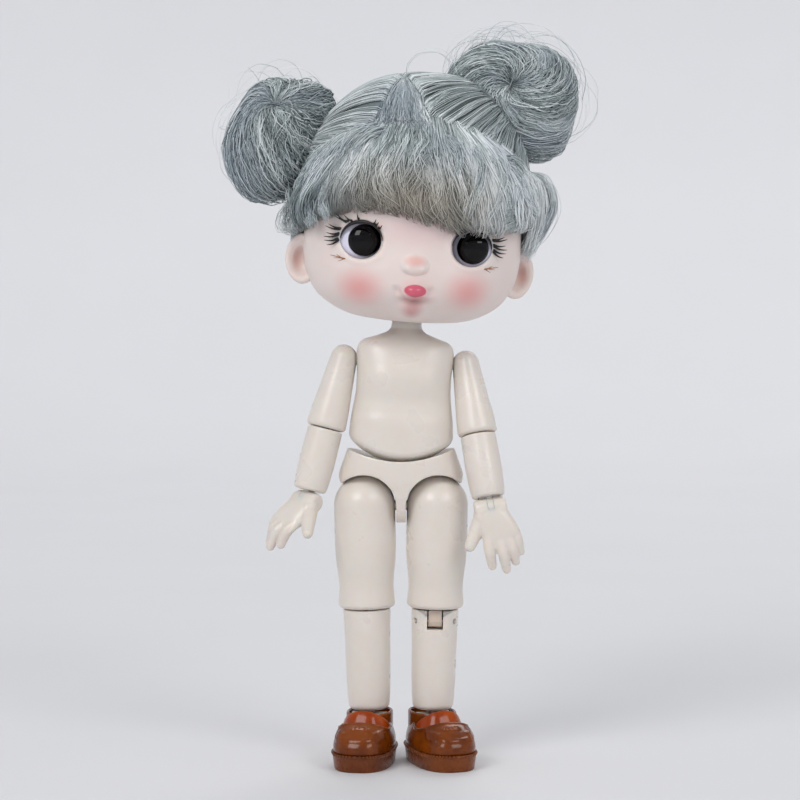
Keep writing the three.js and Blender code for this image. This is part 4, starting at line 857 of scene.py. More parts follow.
def onUpper(grid, angleDegrees, height):
    # the upper's surface at an angle about the shoe's middle and a height
    column = int(round(angleDegrees / 360 * grid.shape[1])) % grid.shape[1]
    line = grid[:, column]
    return array([np.interp(height, line[:, 2], line[:, k]) for k in (0, 1)] + [height])


def edgeOfVamp(y):
    return np.interp(y, shoe["vampWay"], shoe["vampEdge"])


def capSeam(angle):
    # height of the toe cap's seam: low + rise * ((angle - straight ahead) / span)^2
    return shoe["capLow"] + shoe["capRise"] * ((angle - 270) / shoe["capSpan"]) ** 2


def makeShoe(tag):
    place, size = places["foot_" + tag], shoe
    outer = upperGrid(size["welt"], size["sole"] + 0.03, 0)
    shells = [shellOf(outer)]
    # a raised bead along the edge of the vamp
    bead = []
    for column in range(78, 163):
        line = outer[:, column % 160]
        height = linspace(line[0, 2], line[-1, 2], 300)
        way = stack([np.interp(height, line[:, 2], line[:, k]) for k in (0, 1)] + [height], -1)
        over = np.flatnonzero(height > edgeOfVamp(way[:, 1]))
        bead.append(way[over[0]] if len(over) else way[-1])
    bead = array(bead)
    bead = stack([np.convolve(np.pad(bead[:, k], 3, "edge"), np.full(7, 1 / 7), "valid") for k in range(3)], -1)
    shells.append(tubeAlong(bead - [0, 0, 0.3], np.full(len(bead), size["bead"]), 12))
    # seam of the toe cap: a low ridge in a U, with gathers across it
    angles = linspace(270 - size["capSpan"], 270 + size["capSpan"], 41)
    ridge = array([onUpper(outer, a, capSeam(a)) for a in angles])
    shells.append(tubeAlong(ridge, np.full(41, size["ridge"]), 10))
    for a in concatenate([linspace(214, 240, 6), linspace(300, 326, 6)]):
        ends = [onUpper(outer, a, capSeam(a) + off) for off in (-0.85, 0.15, 0.85)]
        shells.append(tubeAlong(smoothCurve([0, 0.5, 1], ends, linspace(0, 1, 7)), np.full(7, size["gather"]), 8))
    # a small moulded bow in the middle of the edge
    knot = onUpper(outer, 270, size["bowHeight"])
    for x, wide, tall in size["bow"]:
        shells.append(ballTool(1, knot + [x, -0.1, 0.1 - 0.06 * abs(x)], (wide, 0.5, tall), 24))
    obj = meshObject("shoeUpperShell_" + tag, together(*shells), place)
    soften(obj, size["voxel"], 3)
    inner = size["welt"] + size["wall"]
    front, side, back = size["opening"]["front"], size["shinEnd"] - gap, size["heelReach"] - inner
    opening = rings([[z, side, front, back, 0, 0] for z in (size["sole"] + 2 * gap, 25)], 96,
                    size["opening"]["power"])
    # all that is above the line of the vamp's edge goes
    line = linspace(size["vampWay"][0], size["vampWay"][-1], 120)
    outline = vstack([column_stack([line, edgeOfVamp(line)]), [[line[-1], 31], [line[0], 31]]])
    above = stack([np.insert(outline, 0, x, axis=1) for x in (-20, 20)])
    carve(obj, [shellOf(upperGrid(inner, size["sole"] - past, 0.2)), shellOf(opening), shellOf(above)], place)
    soften(obj, size["voxel"], 4)
    finishPiece(obj, "foot_" + tag, shoeVinyl, ["shoe_upper_" + tag])
    makeTongue(tag)
    makeCollar(tag)
    makeSole(tag)


def makeTongue(tag):
    # a curved plate that rises from inside the vamp; its upper edge is half an ellipse, x = half * sin a,
    # z = low + rise * cos a, and its sides run back round the shin with the cube of sin a
    size = shoeTongue
    a = radians(linspace(-size["spread"], size["spread"], 29))
    x, arch = size["half"] * sin(a), size["low"] + size["rise"] * cos(a)
    up = linspace(0, 1, 16)[:, None]
    bottom = shoe["sole"] + size["root"]
    z = bottom + up * (arch - bottom)
    wrap = size["wrap"] * np.abs(sin(a)) ** 3 * (0.5 + 0.5 * up)
    y = wrap - (shoe["shinEnd"] + size["ahead"] + size["lean"] * clip(size["leanFrom"] - z, 0, None))
    front = stack([x + 0 * z, y - 0.1 - size["bulge"] * (1 - up**6), z], -1)
    back = stack([0.96 * x + 0 * z, y + size["thick"], z - 0.1 * up], -1)
    loop = concatenate([front, back[:, ::-1]], axis=1)
    obj = meshObject("shoeTongueShell_" + tag, shellOf(loop), places["foot_" + tag])
    soften(obj, size["voxel"], 2)
    finishPiece(obj, "foot_" + tag, tongueVinyl)


def makeCollar(tag):
    # the rim round the ankle: a wall with a rounded top along x = half * cos^power, y = depth * sin^power,
    # a little lower and thinner in front
    size = shoeRim
    turn = linspace(0.5 * pi, 2.56 * pi, 76)
    c, s = cos(turn), sin(turn)
    depth = where(s < 0, size["front"], size["back"])
    line = stack([size["half"] * signedPower(c, size["power"]), depth * signedPower(s, size["power"])], -1)
    away = unit(stack([c, s], -1))
    top = size["top"] - size["dip"] * clip(-s - 0.7, 0, None) / 0.3
    half = size["thick"] - size["thinner"] * clip(-s, 0, 1)
    low, edge = size["low"], -size["edge"]
    section = [(-1, low, 0), (1, low, 0), (1, edge, 1), (0.5, 0, 1), (-0.5, 0, 1), (-1, edge, 1)]
    loop = stack([column_stack([line + away * (half * out)[:, None], height + top * isTop])
                     for out, height, isTop in section], 1)
    obj = meshObject("shoeCollarShell_" + tag, shellOf(loop), places["foot_" + tag])
    soften(obj, shoe["voxel"], 3)
    finishPiece(obj, "foot_" + tag, shoeVinyl)


def makeSole(tag):
    # a wall with rounded edges; along its upper edge each stitch is a small swell
    place, size = places["foot_" + tag], shoe
    columns = 12 * size["stitches"]
    top = size["sole"]
    # height, shares of front, back and width, and how much of each stitch's swell reaches this row
    rows = [[0, 0.86, 0.87, 0.82, 0], [0, 0.95, 0.96, 0.915, 0], [0.1, 0.96, 0.97, 0.93, 0],
            [0.35, 0.966, 0.974, 0.94, 0], [0.45 * top, 0.98, 0.985, 0.965, 0], [top - 0.85, 0.995, 0.995, 0.99, 0],
            [top - 0.7, 0.994, 0.994, 0.99, 0.1], [top - 0.55, 1, 1, 1, 0.5], [top - 0.3, 1.002, 1.002, 1.003, 1],
            [top - 0.1, 0.995, 0.995, 0.99, 1], [top - 0.02, 0.98, 0.98, 0.965, 0.6], [top - 0.02, 0.93, 0.93, 0.9, 0]]
    grid = shoeRings(rows, size["soleInset"], columns)
    beat = np.abs(sin(pi * arange(columns) * size["stitches"] / columns)) ** 0.7
    weight = array(rows)[:, 4:]
    away = unit(grid * [1, 1, 0] - [0, size["heelReach"] - size["length"] / 2, 0])
    swell = away * [1, 1, 0] * size["stitchOut"] + array([0, 0, size["stitchUp"]])
    grid = grid + swell * (beat[None, :] * weight - 0.12 * weight)[..., None]
    grid[..., 2] = np.minimum(grid[..., 2], top + 0.1)
    obj = meshObject("shoeSoleShell_" + tag, shellOf(grid), place, sharp=60)
    finishPiece(obj, "foot_" + tag, soleVinyl, ["shoe_sole_" + tag])


vinyl = {"cloud": 160, "cloudRange": (0.35, 0.68), "grain": 900, "grainHeight": 0.00003, "grainStrength": 0.4,
         "specular": 0.22, "coat": 0.16, "coatRoughness": 0.06, "radius": (1, 0.35, 0.12), "depth": 0.0012}


def vinylMaterial(name, dark, light, roughness, glow):
    # glossy moulded vinyl, clouded in colour, with a fine grain
    paint = Finish(name)
    cloud = paint.spread(paint.noise(vinyl["cloud"], 4), vinyl["cloudRange"], (0, 1), True)
    fine = paint.noise(vinyl["grain"], 2)
    return paint.wear({
        "Base Color": paint.blend(cloud, dark, light), "Roughness": paint.spread(fine, middleOfNoise, roughness),
        "Normal": paint.bump(fine, vinyl["grainHeight"], vinyl["grainStrength"]),
        "Specular IOR Level": vinyl["specular"], "Coat Weight": vinyl["coat"],
        "Coat Roughness": vinyl["coatRoughness"], **sunkLight(glow, vinyl["radius"], vinyl["depth"])})


shoeVinyl = vinylMaterial("shoeVinyl", sRGB(96, 42, 6), sRGB(128, 62, 12), (0.14, 0.22), 0.1)
tongueVinyl = vinylMaterial("tongueVinyl", sRGB(142, 52, 4), sRGB(168, 72, 8), (0.16, 0.26), 0.2)
soleVinyl = vinylMaterial("soleVinyl", sRGB(96, 44, 12), sRGB(122, 62, 20), (0.22, 0.36), 0.12)
for tag in ("r", "l"):
    makeShoe(tag)
print("shoes made")

# head: one smooth egg of superellipse rings, in the head's own frame
head = {"halfWidth": 25.2, "front": 24, "back": 23.4, "height": 54.6, "chinDrop": 5.2, "wall": 2.4, "seam": 4.5,
        "power": 2.15,
        # share of the height, then shares of half width, front and back
        "shares": [[0, 0, 0, 0], [0.018, 0.5, 0.58, 0.54], [0.058, 0.72, 0.76, 0.68], [0.103, 0.85, 0.87, 0.78],
                   [0.161, 0.93, 0.94, 0.86], [0.222, 0.98, 0.97, 0.92], [0.31, 1, 0.98, 0.97], [0.45, 0.99, 1, 1],
                   [0.605, 0.93, 0.95, 0.94], [0.775, 0.79, 0.8, 0.8], [0.91, 0.56, 0.57, 0.57],
                   [0.978, 0.3, 0.31, 0.31], [1, 0, 0, 0]]}
headMiddle = head["height"] / 2 - head["chinDrop"]
heart = array([0, 0, headMiddle])
eye = {"spacing": {"r": -12.55, "l": 12.3}, "lift": 12.6, "half": (4.5, 4.1), "ball": 6, "behind": 1.4,
       "pupil": 3.6, "pupilDepth": 1.5, "pupilBulge": 0.5, "glance": {"r": 0.62, "l": 0.3},
       "up": 0.15, "seatGap": 0.12, "backRadius": 5.6}
ear = {"centre": {"r": (-24.9, -0.8, 7.4), "l": (24.6, -0.8, 7.5)}, "half": (4.5, 5.85), "turn": 24}


def headTable():
    table = array(head["shares"])
    theta = np.arccos(1 - 2 * table[:, 0])
    at = linspace(0, pi, 721)
    return at, smoothCurve(theta, table[:, 1:], at)


headTheta, headShares = headTable()


def headRow(theta, offset):
    # height, half width, front and back of the egg at an angle from the chin up, moved out by an offset
    width, front, back = (np.interp(theta, headTheta, headShares[:, k]) for k in range(3))
    rise = (head["height"] / 2 + offset) * -cos(theta)
    return (headMiddle + rise, width * (head["halfWidth"] + offset), front * (head["front"] + offset),
            back * (head["back"] + offset))


def headPoint(theta, angle, offset=0):
    z, w, f, b = headRow(theta, offset)
    c, s = cos(angle), sin(angle)
    x = w * signedPower(c, 2 / head["power"])
    y = where(s < 0, f, b) * signedPower(s, 2 / head["power"])
    return stack(np.broadcast_arrays(x, y, z), -1)


def insideHead(points, offset):
    cosine = (headMiddle - points[..., 2]) / (head["height"] / 2 + offset)
    theta = np.arccos(clip(cosine, -1, 1))
    _, w, f, b = headRow(theta, offset)
    depth = where(points[..., 1] < 0, f, b)
    tiny = 1e-6
    power = head["power"]
    value = (np.abs(points[..., 0]) / (w + tiny)) ** power + (np.abs(points[..., 1]) / (depth + tiny)) ** power
    return (value < 1) & (np.abs(cosine) < 1)


def onHead(direction, offset):
    # where a ray from the middle of the head leaves the egg, found by halving
    direction = unit(direction)
    low = np.zeros(direction.shape[:-1])
    high = low + 60
    for _ in range(22):
        middle = (low + high) / 2
        within = insideHead(heart + middle[..., None] * direction, np.asarray(offset))
        low, high = where(within, middle, low), where(within, high, middle)
    return heart + low[..., None] * direction


def faceY(x, z, offset=0):
    # front of the plain egg: y = -front * (1 - |x / width|^power)^(1/power)
    theta = np.arccos(clip((headMiddle - z) / (head["height"] / 2 + offset), -1, 1))
    _, w, f, _ = headRow(theta, offset)
    return -f * clip(1 - np.abs(x / w) ** head["power"], 0, 1) ** (1 / head["power"])


def bell(x, z, cx, cz, sx, sz):
    return exp(-(((x - cx) / sx) ** 2 + ((z - cz) / sz) ** 2))


def dome(x, z, cx, cz, sx, sz, power):
    return clip(1 - ((x - cx) / sx) ** 2 - ((z - cz) / sz) ** 2, 0, 1) ** power


# forms of the face on the plain egg: height, place to the side and up, reach to the side and up
faceBells = [(0.55, -13, 1.2, 7, 5), (0.55, 13, 1.6, 7, 5),  # cheeks
             (1.15, 0.1, 2.5, 3.6, 2.9),  # muzzle
             (0.45, -0.3, 8.6, 4.6, 3.8),  # root of the nose
             (0.3, -2.2, 7, 0.8, 0.7), (0.3, 1.5, 7, 0.8, 0.7),  # wings of the nose
             (-0.28, 0.16, 1.95, 2.3, 0.16),  # line between the lips
             (-0.5, -3.9, 2.1, 0.8, 1), (-0.5, 3.75, 2.5, 0.75, 0.9),  # corners of the mouth
             (-1.25, 0.3, 0.05, 3.1, 0.75), (1.15, -0.1, -2.2, 2.7, 1.6),  # hollow under the lips, chin
             (-0.12, -0.1, 4.8, 0.5, 0.9)]  # groove over the lips


def relief(x, z):
    # how far the face stands out of the plain egg: the bells, a dome for the nose, one for the lips, the eyes' rims
    out = sum(height * bell(x, z, *place) for height, *place in faceBells)
    noseZ = where(z > 7.7, (z - 7.7) / 1.45, (z - 7.7) / 0.95)
    out = out + 1.05 * dome(x, noseZ, -0.35, 0, 3.25, 2.1, 0.95) + 1.35 * dome(x, z, 0.16, 2.3, 2.8, 1.5, 0.55)
    for tag in ("r", "l"):
        away = np.sqrt(((x - eye["spacing"][tag]) / eye["half"][0]) ** 2 + ((z - eye["lift"]) / eye["half"][1]) ** 2)
        out = out + 0.1 * exp(-(((away - 1.22) / 0.13) ** 2)) - 0.1 * exp(-(((away - 1.5) / 0.35) ** 2))
        out = out - 0.6 * clip((1.13 - away) / 0.13, 0, 1.4) ** 2
    return out


def skinPoint(x, z, lift=0):
    # a point on the face with its relief, and how the plain egg faces there
    x, z = np.broadcast_arrays(np.asarray(x, float), np.asarray(z, float))
    step = 0.05
    y = faceY(x, z)
    slopeX = (faceY(x + step, z) - faceY(x - step, z)) / (2 * step)
    slopeZ = (faceY(x, z + step) - faceY(x, z - step)) / (2 * step)
    normal = unit(stack([slopeX, -np.ones_like(slopeX), slopeZ], -1))
    return stack([x, y, z], -1) + normal * (relief(x, z) + lift)[..., None], normal


def spacedBy(density, low, high, count):
    # places between low and high, closer where the density is higher
    fine = linspace(low, high, 4001)
    weight = concatenate([[0], np.cumsum((density(fine[1:]) + density(fine[:-1])) / 2)])
    return np.interp(linspace(0, weight[-1], count), weight, fine)


def headGrid(inset, rowCount, columnCount, detailed):
    theta = spacedBy(lambda t: 1 + (3.4 if detailed else 0) * exp(-(((t - 0.92) / 0.42) ** 2)), 0, pi,
                     rowCount + 2)[1:-1]
    front = 1.5 * pi
    angle = spacedBy(lambda a: 1 + (4.2 if detailed else 0) * exp(-(((a - front) / 0.66) ** 2)), front - pi,
                     front + pi, columnCount + 1)[:-1]
    grid = headPoint(theta[:, None], angle[None, :], -inset)
    if detailed:
        across = np.roll(grid, -1, 1) - np.roll(grid, 1, 1)
        normal = unit(cross(across, np.gradient(grid, axis=0)))
        onFace = clip(-grid[..., 1] / 6, 0, 1)
        grid = grid + normal * (relief(grid[..., 0], grid[..., 2]) * onFace)[..., None]
    return grid


def earShell(tag, side):
    # a cupped disc: a rim turned over a hollow in front, and a domed back; row by row from the hollow's middle
    profile = array([[0.06, -1.75], [0.2, -1.7], [0.36, -1.4], [0.5, -0.7], [0.62, 0.15], [0.74, 0.72], [0.85, 0.85],
                        [0.94, 0.6], [1, 0.05], [0.98, -0.6], [0.9, -1.2], [0.75, -1.9], [0.5, -2.5], [0.2, -2.8]])
    at = linspace(0, 1, 40)
    profile = smoothCurve(linspace(0, 1, len(profile)), profile, at)
    around = linspace(0, 2 * pi, 72, endpoint=False)
    reach, out = profile[:, :1], profile[:, 1:]
    hollow = clip(1 - reach / 0.55, 0, 1) * (at < 0.45)[:, None]
    u = reach * ear["half"][0] * cos(around) * (1 - 0.1 * sin(around) * -1) - 0.5 * hollow
    v = reach * ear["half"][1] * sin(around) * (1 + 0.05 * sin(around)) - 0.3 * hollow
    # a fold inside the rim, and a small bump at the mouth of the hollow
    fold = 0.35 * exp(-(((reach - 0.56) / 0.07) ** 2)) * clip(cos(around - 0.9), 0, 1) * (at < 0.45)[:, None]
    bump = 0.8 * exp(-(((reach - 0.5) / 0.14) ** 2) - (((around - 3.6) / 0.5) ** 2)) * (at < 0.45)[:, None]
    turn = math.radians(ear["turn"])
    facing = array([math.sin(turn), -math.cos(turn), 0])
    along = array([math.cos(turn), math.sin(turn), 0])
    grid = u[..., None] * along + v[..., None] * array([0, 0, 1]) + (out + fold + bump)[..., None] * facing
    grid[..., 0] *= side
    if side > 0:
        grid = grid[::-1]
    return shellOf(grid + array(ear["centre"][tag]))


def nodeInHead(name):
    mesh = frame["nodes"][name].data
    points = np.empty(len(mesh.vertices) * 3, np.float32)
    mesh.vertices.foreach_get("co", points)
    return (points.reshape(-1, 3) / mm - places["head"].origin) @ places["head"].turn


def eyeCentre(tag):
    # the eye balls stay where the frame has them
    points = nodeInHead("eye_white_" + tag)
    low, high = points.min(0), points.max(0)
    return array([(low[0] + high[0]) / 2, high[1] - eye["behind"], (low[2] + high[2]) / 2])


eyeCentres = {tag: eyeCentre(tag) for tag in ("r", "l")}


def makeHead():
    place = places["head"]
    obj = meshObject("headShell", shellOf(headGrid(0, 230, 340, True)), place)
    ears = [meshObject("ear_" + tag, earShell(tag, side), place) for tag, side in sides]
    carve(obj, ears, place, "UNION", 180)
    tools = [shellOf(headGrid(head["wall"], 60, 90, False)), barTool("z", neck["hole"], -20, 0)]
    for tag in ("r", "l"):
        x, y, z = eyeCentres[tag]
        bar = barTool("y", 1, -50, y, sides=96)
        centre = array([eye["spacing"][tag], 0, eye["lift"]])
        tools.append((bar[0] * [eye["half"][0], 1, eye["half"][1]] + centre, bar[1], bar[2]))
        tools.append(ballTool(eye["ball"] + gap, (x, y, z)))
    carve(obj, tools, place, sharp=50)
    face, back = split(obj, head["seam"], place, ("faceShell", "skullBackShell"))
    for half, name in ((face, "face_shell"), (back, "skull_back")):
        shade(half, 55)
        finishPiece(half, "head", faceSkin, [name])


# the face's skin is a little lighter than the body's plastic: partly the head's own pinker vinyl, partly painted light
# for the stronger light that falls on the head
faceColours = {"skin": sRGB(236, 224, 219), "deep": sRGB(230, 214, 207), "blush": sRGB(228, 120, 118),
               "lips": sRGB(206, 88, 112), "lipEdgeAndUnderShade": sRGB(170, 88, 94), "chin": sRGB(198, 134, 136),
               "nose": sRGB(226, 140, 128), "ear": sRGB(196, 118, 100), "browTint": sRGB(214, 176, 182)}
# spots of paint, painted shade among them: centre, reach, where each starts and ends as shares of the reach, colour,
# strength; the lips last
# a darker pink tint between and above the eyes, just under the fringe's lower edge
faceSpots = [((0, -22, 17), (12, 16, 6), 0.1, 1.25, "browTint", 0.42),
             ((-12.6, -22, 1.8), (7, 14, 6), 0, 1.1, "blush", 0.62),
             ((12.5, -22, 2.7), (7, 14, 6), 0, 1.1, "blush", 0.58),
             ((0.1, -24, 1.2), (5.4, 10, 5.2), 0.3, 1.1, "blush", 0.2),
             ((-0.3, -26, 8.9), (3.2, 8, 1.7), 0.25, 1.1, "nose", 0.5),
             # a darker red band at the lower lip's edge: partly the lips' own paint, partly painted shade in the hollow
             # under the lip
             ((0.3, -24.5, 0.1), (3.6, 8, 1.4), 0.2, 1.2, "lipEdgeAndUnderShade", 0.66),
             ((-0.1, -24, -2.6), (3.7, 10, 3.2), 0.25, 1.1, "chin", 0.8),
             ((-26, -1.2, 7.6), (2.2, 4, 3.6), 0.15, 1, "ear", 0.75),
             ((25.9, -1.2, 7.7), (2.2, 4, 3.6), 0.15, 1, "ear", 0.75),
             ((0.16, -26, 2.3), (2.9, 8, 1.55), 0.82, 1.02, "lips", 0.96)]
faceGloss = {"roughness": (0.5, 0.16), "peel": 1100, "peelStrength": 0.3, "sunk": (0.35, (1, 0.45, 0.3), 0.0014)}


def faceMaterial():
    # skin with the painted parts: each is 1 inside a soft edged ellipsoid, by how long (p - centre) / reach is
    paint = Finish("faceSkin")
    # the object coordinates are turned into the head's own frame, in metres
    turn = Matrix(places["head"].turn.tolist()).to_euler("XYZ")
    sockets = {"Vector": paint.place, "Location": places["head"].origin * mm, "Rotation": turn}
    paint.place = paint.node("Mapping", sockets, vector_type="TEXTURE").outputs["Vector"]
    colour = paint.blend(paint.noise(plastic["mottle"]), faceColours["skin"], faceColours["deep"])
    for centre, reach, inner, outer, name, strength in faceSpots:
        way = paint.place
        for operation, by in (("SUBTRACT", centre), ("DIVIDE", reach)):
            way = paint.node("VectorMath", {0: way, 1: Vector(by) * mm}, operation=operation).outputs[0]
        length = paint.node("VectorMath", {0: way}, operation="LENGTH").outputs["Value"]
        mask = paint.spread(length, (inner, outer), (1, 0), True)
        amount = paint.node("Math", {0: mask, 1: strength}, operation="MULTIPLY").outputs[0]
        colour = paint.blend(amount, colour, faceColours[name])
    # the lips, whose mask is the last, shine; the skin doesn't
    return paint.wear({
        "Base Color": colour, "Roughness": paint.spread(mask, (0, 1), faceGloss["roughness"]),
        "Normal": paint.bump(paint.noise(faceGloss["peel"], 2), plastic["peelHeight"], faceGloss["peelStrength"]),
        **sunkLight(*faceGloss["sunk"])})


faceSkin = faceMaterial()
makeHead()
print("head made")

# eyes and lashes
lash = {
    # strokes in the eye's own frame: where each starts and ends, to the side (outward) and up
    "strokes": [[3.6, 3.9, 5.7, 6], [3.2, 4.1, 5.9, 5.2], [4.7, 2.4, 7.2, 3.4], [4.8, 2.2, 8, 2.9],
                [5, 1.3, 7.6, 1.3], [5.1, 0.9, 8.1, 0.3], [5.1, 0.1, 7.9, -0.6], [5, -0.3, 7.2, -1.7],
                [2.4, 4.3, 3.9, 5.6], [0.9, 4.8, 1, 6.1], [-2.4, 3.9, -3.3, 5.2], [-2.8, 3.8, -3.9, 4.4],
                [-3.6, 3, -4.7, 3.9]],
    "lower": [[6.6, -3.7, 3.3, -4.3, 0.15], [5.2, -3.5, 3.9, -4.3, 0.11], [4.8, -5, 3.6, -4.4, 0.11],
              [5.8, -4.3, 4.3, -4.2, 0.1]],
}


eyeWhite = plainMaterial("eyeWhite", sRGB(228, 227, 242), sRGB(218, 217, 236), (0.2, 0.3),
                         more={"Coat Weight": 0.6, "Coat Roughness": 0.03})
eyeBlack = plainMaterial("eyeBlack", sRGB(12, 10, 12), sRGB(6, 5, 7), (0.04, 0.08), more={"Specular IOR Level": 0.22})
lashBlack = plainMaterial("lashBlack", sRGB(22, 18, 18), sRGB(12, 10, 10), (0.4, 0.55))
lashBrown = plainMaterial("lashBrown", sRGB(168, 108, 62), sRGB(150, 92, 52), (0.4, 0.55))


def turnedAboutY(profile, sides):
    # rings about the y axis from [y, radius] pairs, y falling towards the viewer
    grid = rings(turnedRows(profile), sides)
    return grid[..., [0, 2, 1]] * [1, 1, -1]


def makeEye(tag):
    place = places["head"]
    x, y, z = eyeCentres[tag]
    radius = eye["ball"]
    turn = radians(linspace(88, -12, 44))
    ball = stack([-radius * sin(turn), radius * cos(turn)], -1)
    flat = [[eye["behind"], eye["backRadius"]], [eye["behind"], middleHole]]
    grid = turnedAboutY(vstack([ball, flat]), 72) + [x, y, z]
    obj = meshObject("eyeWhiteShell_" + tag, shellOf(grid), place)
    sight = (x + eye["glance"][tag], 0, z + eye["up"])
    seat = barTool("y", eye["pupil"] + eye["seatGap"], y - 20, y - radius + eye["pupilDepth"], sight, 72)
    carve(obj, [seat], place)
    finishPiece(obj, "head", eyeWhite, ["eye_white_" + tag])
    # the pupil: a flat domed button, y = -bulge * sqrt(1 - (r / radius)^2)
    turn = radians(linspace(0, 88, 30))
    bulge = eye["pupilDepth"] + eye["pupilBulge"]
    button = vstack([[[0, middleHole]], stack([-bulge * sin(turn), eye["pupil"] * cos(turn)], -1)])
    middle = [sight[0], y - radius + eye["pupilDepth"] - gap, sight[2]]
    pupil = meshObject("eyePupilShell_" + tag, shellOf(turnedAboutY(button[::-1], 72) + middle), place)
    finishPiece(pupil, "head", eyeBlack, ["eye_pupil_" + tag])


def strokeOnFace(points, radii, lifts):
    surface, normal = skinPoint(points[:, 0], points[:, 1])
    return tubeAlong(surface + normal * np.asarray(lifts)[:, None], radii, 8)


def makeLashes(tag, side):
    cx, cz = eye["spacing"][tag], eye["lift"]
    shells, brown = [], []
    # the lid line: along the opening's upper edge, thickest at its outer top
    turn = radians(linspace(4, 176, 60))
    thick = 0.26 + 0.2 * exp(-(((turn - math.radians(78)) / 0.8) ** 2))
    line = stack([cx + side * (eye["half"][0] + 0.1) * cos(turn),
                     cz + (eye["half"][1] + 0.12) * sin(turn)], -1)
    taper = sin(linspace(0.2, pi - 0.12, 60)) ** 0.5
    shells.append(strokeOnFace(line, thick * taper, 0.5 + 0.1 * sin(turn)))
    for startX, startZ, endX, endZ in lash["strokes"]:
        s = linspace(0, 1, 10)
        bend, reach = 0.28 * sin(pi * s), 0.82 * s
        points = stack([cx + side * (startX + (endX - startX) * reach),
                           cz + startZ + (endZ - startZ) * reach - bend], -1)
        shells.append(strokeOnFace(points, 0.24 * (1 - s) ** 0.7 + 0.04, 0.2 + 0.9 * s**1.6))
    for startX, startZ, endX, endZ, radius in lash["lower"]:
        s = linspace(0, 1, 8)
        points = stack([cx + side * (startX + (endX - startX) * s), cz + startZ + (endZ - startZ) * s], -1)
        brown.append(strokeOnFace(points, radius * (0.3 + 0.7 * s), 0.02 + 0 * s))
    place = places["head"]
    upper = meshObject("lashes_" + tag, together(*shells), place, 180)
    finishPiece(upper, "head", lashBlack)
    lower = meshObject("lowerLashes_" + tag, together(*brown), place, 180)
    finishPiece(lower, "head", lashBrown)


for tag, side in sides:
    makeEye(tag)
    makeLashes(tag, side)
print("eyes made")

# hair: smooth dark bases, coloured as painted shade for the gaps between the strands, with thousands of tapered strands
# on them
hair = {
    "lowFront": 22.5, "lowSide": 13.6, "lowBack": 2.2, "thick": 2.3,
    # fringe: its lower edge and upper edge as height over x on the face
    "fringeLow": [[-27, 13.2], [-25.8, 13.5], [-19.1, 17.2], [-7.4, 18.9], [1, 17.2], [8, 15.2], [15, 15.6],
                  [23.9, 17.6], [27, 18.2]],
    "fringeTop": [[-27, 29.5], [-18, 34.5], [-8.6, 38.4], [2, 38.6], [12, 36.8], [21.9, 33.6], [27, 31]],
    # how far the roll stands off the head, from its upper edge to its lower edge
    "roll": [[0, 2.2], [0.12, 3.2], [0.35, 4.4], [0.6, 4.7], [0.8, 3.9], [0.93, 2.4], [1, 1.1]],
    "part": -4.9,
}
buns = {"r": {"centre": (-33, 4, 34.8), "radii": (11.4, 12.3, 13.6), "axis": (-0.1, -0.72, 0.66), "twist": 1,
              # "ring" is how wide the band is; lobes: direction, swell as a share of the radius, width
              "ring": 0.27, "lobes": [((0.8, -0.15, 0.6), 0.34, 0.42), ((-0.7, -0.1, -0.7), 0.17, 0.5),
                                      ((-0.1, 0, -1), 0.08, 0.4)]},
        "l": {"centre": (21.4, 4, 48.2), "radii": (14.9, 13.4, 13.4), "axis": (-0.16, -0.94, 0.28), "twist": 2.3,
              "ring": 0.42, "lobes": [((-0.92, -0.1, 0.37), 0.14, 0.4), ((0.6, -0.1, -0.8), 0.2, 0.42),
                                      ((0.3, 0, 0.95), 0.03, 0.4)]}}
# how many strands lie in how many locks, and a strand's radius
counts = {"combed": (2350, 240, 0.1), "fringe": (1600, 56, 0.108), "curls": (1350, 56, 0.108),
          "parting": (520, 22, 0.105), "bun": (2250, 110, 0.105)}
chance = np.random.default_rng(7)
normal, uniform = chance.standard_normal, chance.uniform


def uneven(count, amount):
    # how much thicker or thinner each strand is
    return amount * normal((count, 1)).clip(-2, 2)


def strandMesh(name, paths, radii, outward, tones, warmth=0, flat=1.35):
    # each strand is a tapered three sided tube along its path, a little wider than thick
    tangent = unit(np.gradient(paths, axis=1))
    side = unit(cross(tangent, outward))
    up = cross(side, tangent)
    angle = radians([90, 210, 330])
    ring = cos(angle)[:, None] * side[:, :, None] * flat + sin(angle)[:, None] * up[:, :, None]
    points = paths[:, :, None] + radii[:, :, None, None] * ring
    count, rows = paths.shape[:2]
    r = arange(rows - 1)[:, None]
    c = arange(3)[None]
    following = (c + 1) % 3
    quad = stack([r * 3 + c, r * 3 + following, (r + 1) * 3 + following, (r + 1) * 3 + c], -1).reshape(-1, 4)
    ends = array([[2, 1, 0], [rows * 3 - 3, rows * 3 - 2, rows * 3 - 1]])
    start = (arange(count) * rows * 3)[:, None, None]
    shell = (points.reshape(-1, 3), (quad + start).reshape(-1, 4), (ends + start).reshape(-1, 3))
    obj = meshObject(name, shell, places["head"], 180)
    if np.ndim(tones) == 1:
        tones = np.asarray(tones)[:, None]
    for key, values in (("tone", tones), ("warmth", warmth)):
        layer = obj.data.attributes.new(key, "FLOAT", "POINT")
        values = clip(np.broadcast_to(values, (count, rows)), -1, 1)
        layer.data.foreach_set("value", np.repeat(values.ravel(), 3).astype(np.float32))
    along = obj.data.attributes.new("along", "FLOAT_VECTOR", "POINT")
    turned = np.repeat((tangent @ places["head"].turn.T)[:, :, None], 3, 2)
    along.data.foreach_set("vector", turned.astype(np.float32).ravel())
    return finishPiece(obj, "head", hairFibre)


fibre = {"clouds": 70, "cloudRange": (0.42, 0.68), "cloudAmount": (0, 0.35), "cool": sRGB(158, 172, 184),
         "beige": sRGB(192, 182, 168), "blue": sRGB(124, 140, 162), "fine": 420, "roughness": (0.3, 0.46),
         "drawnOut": 0.7}


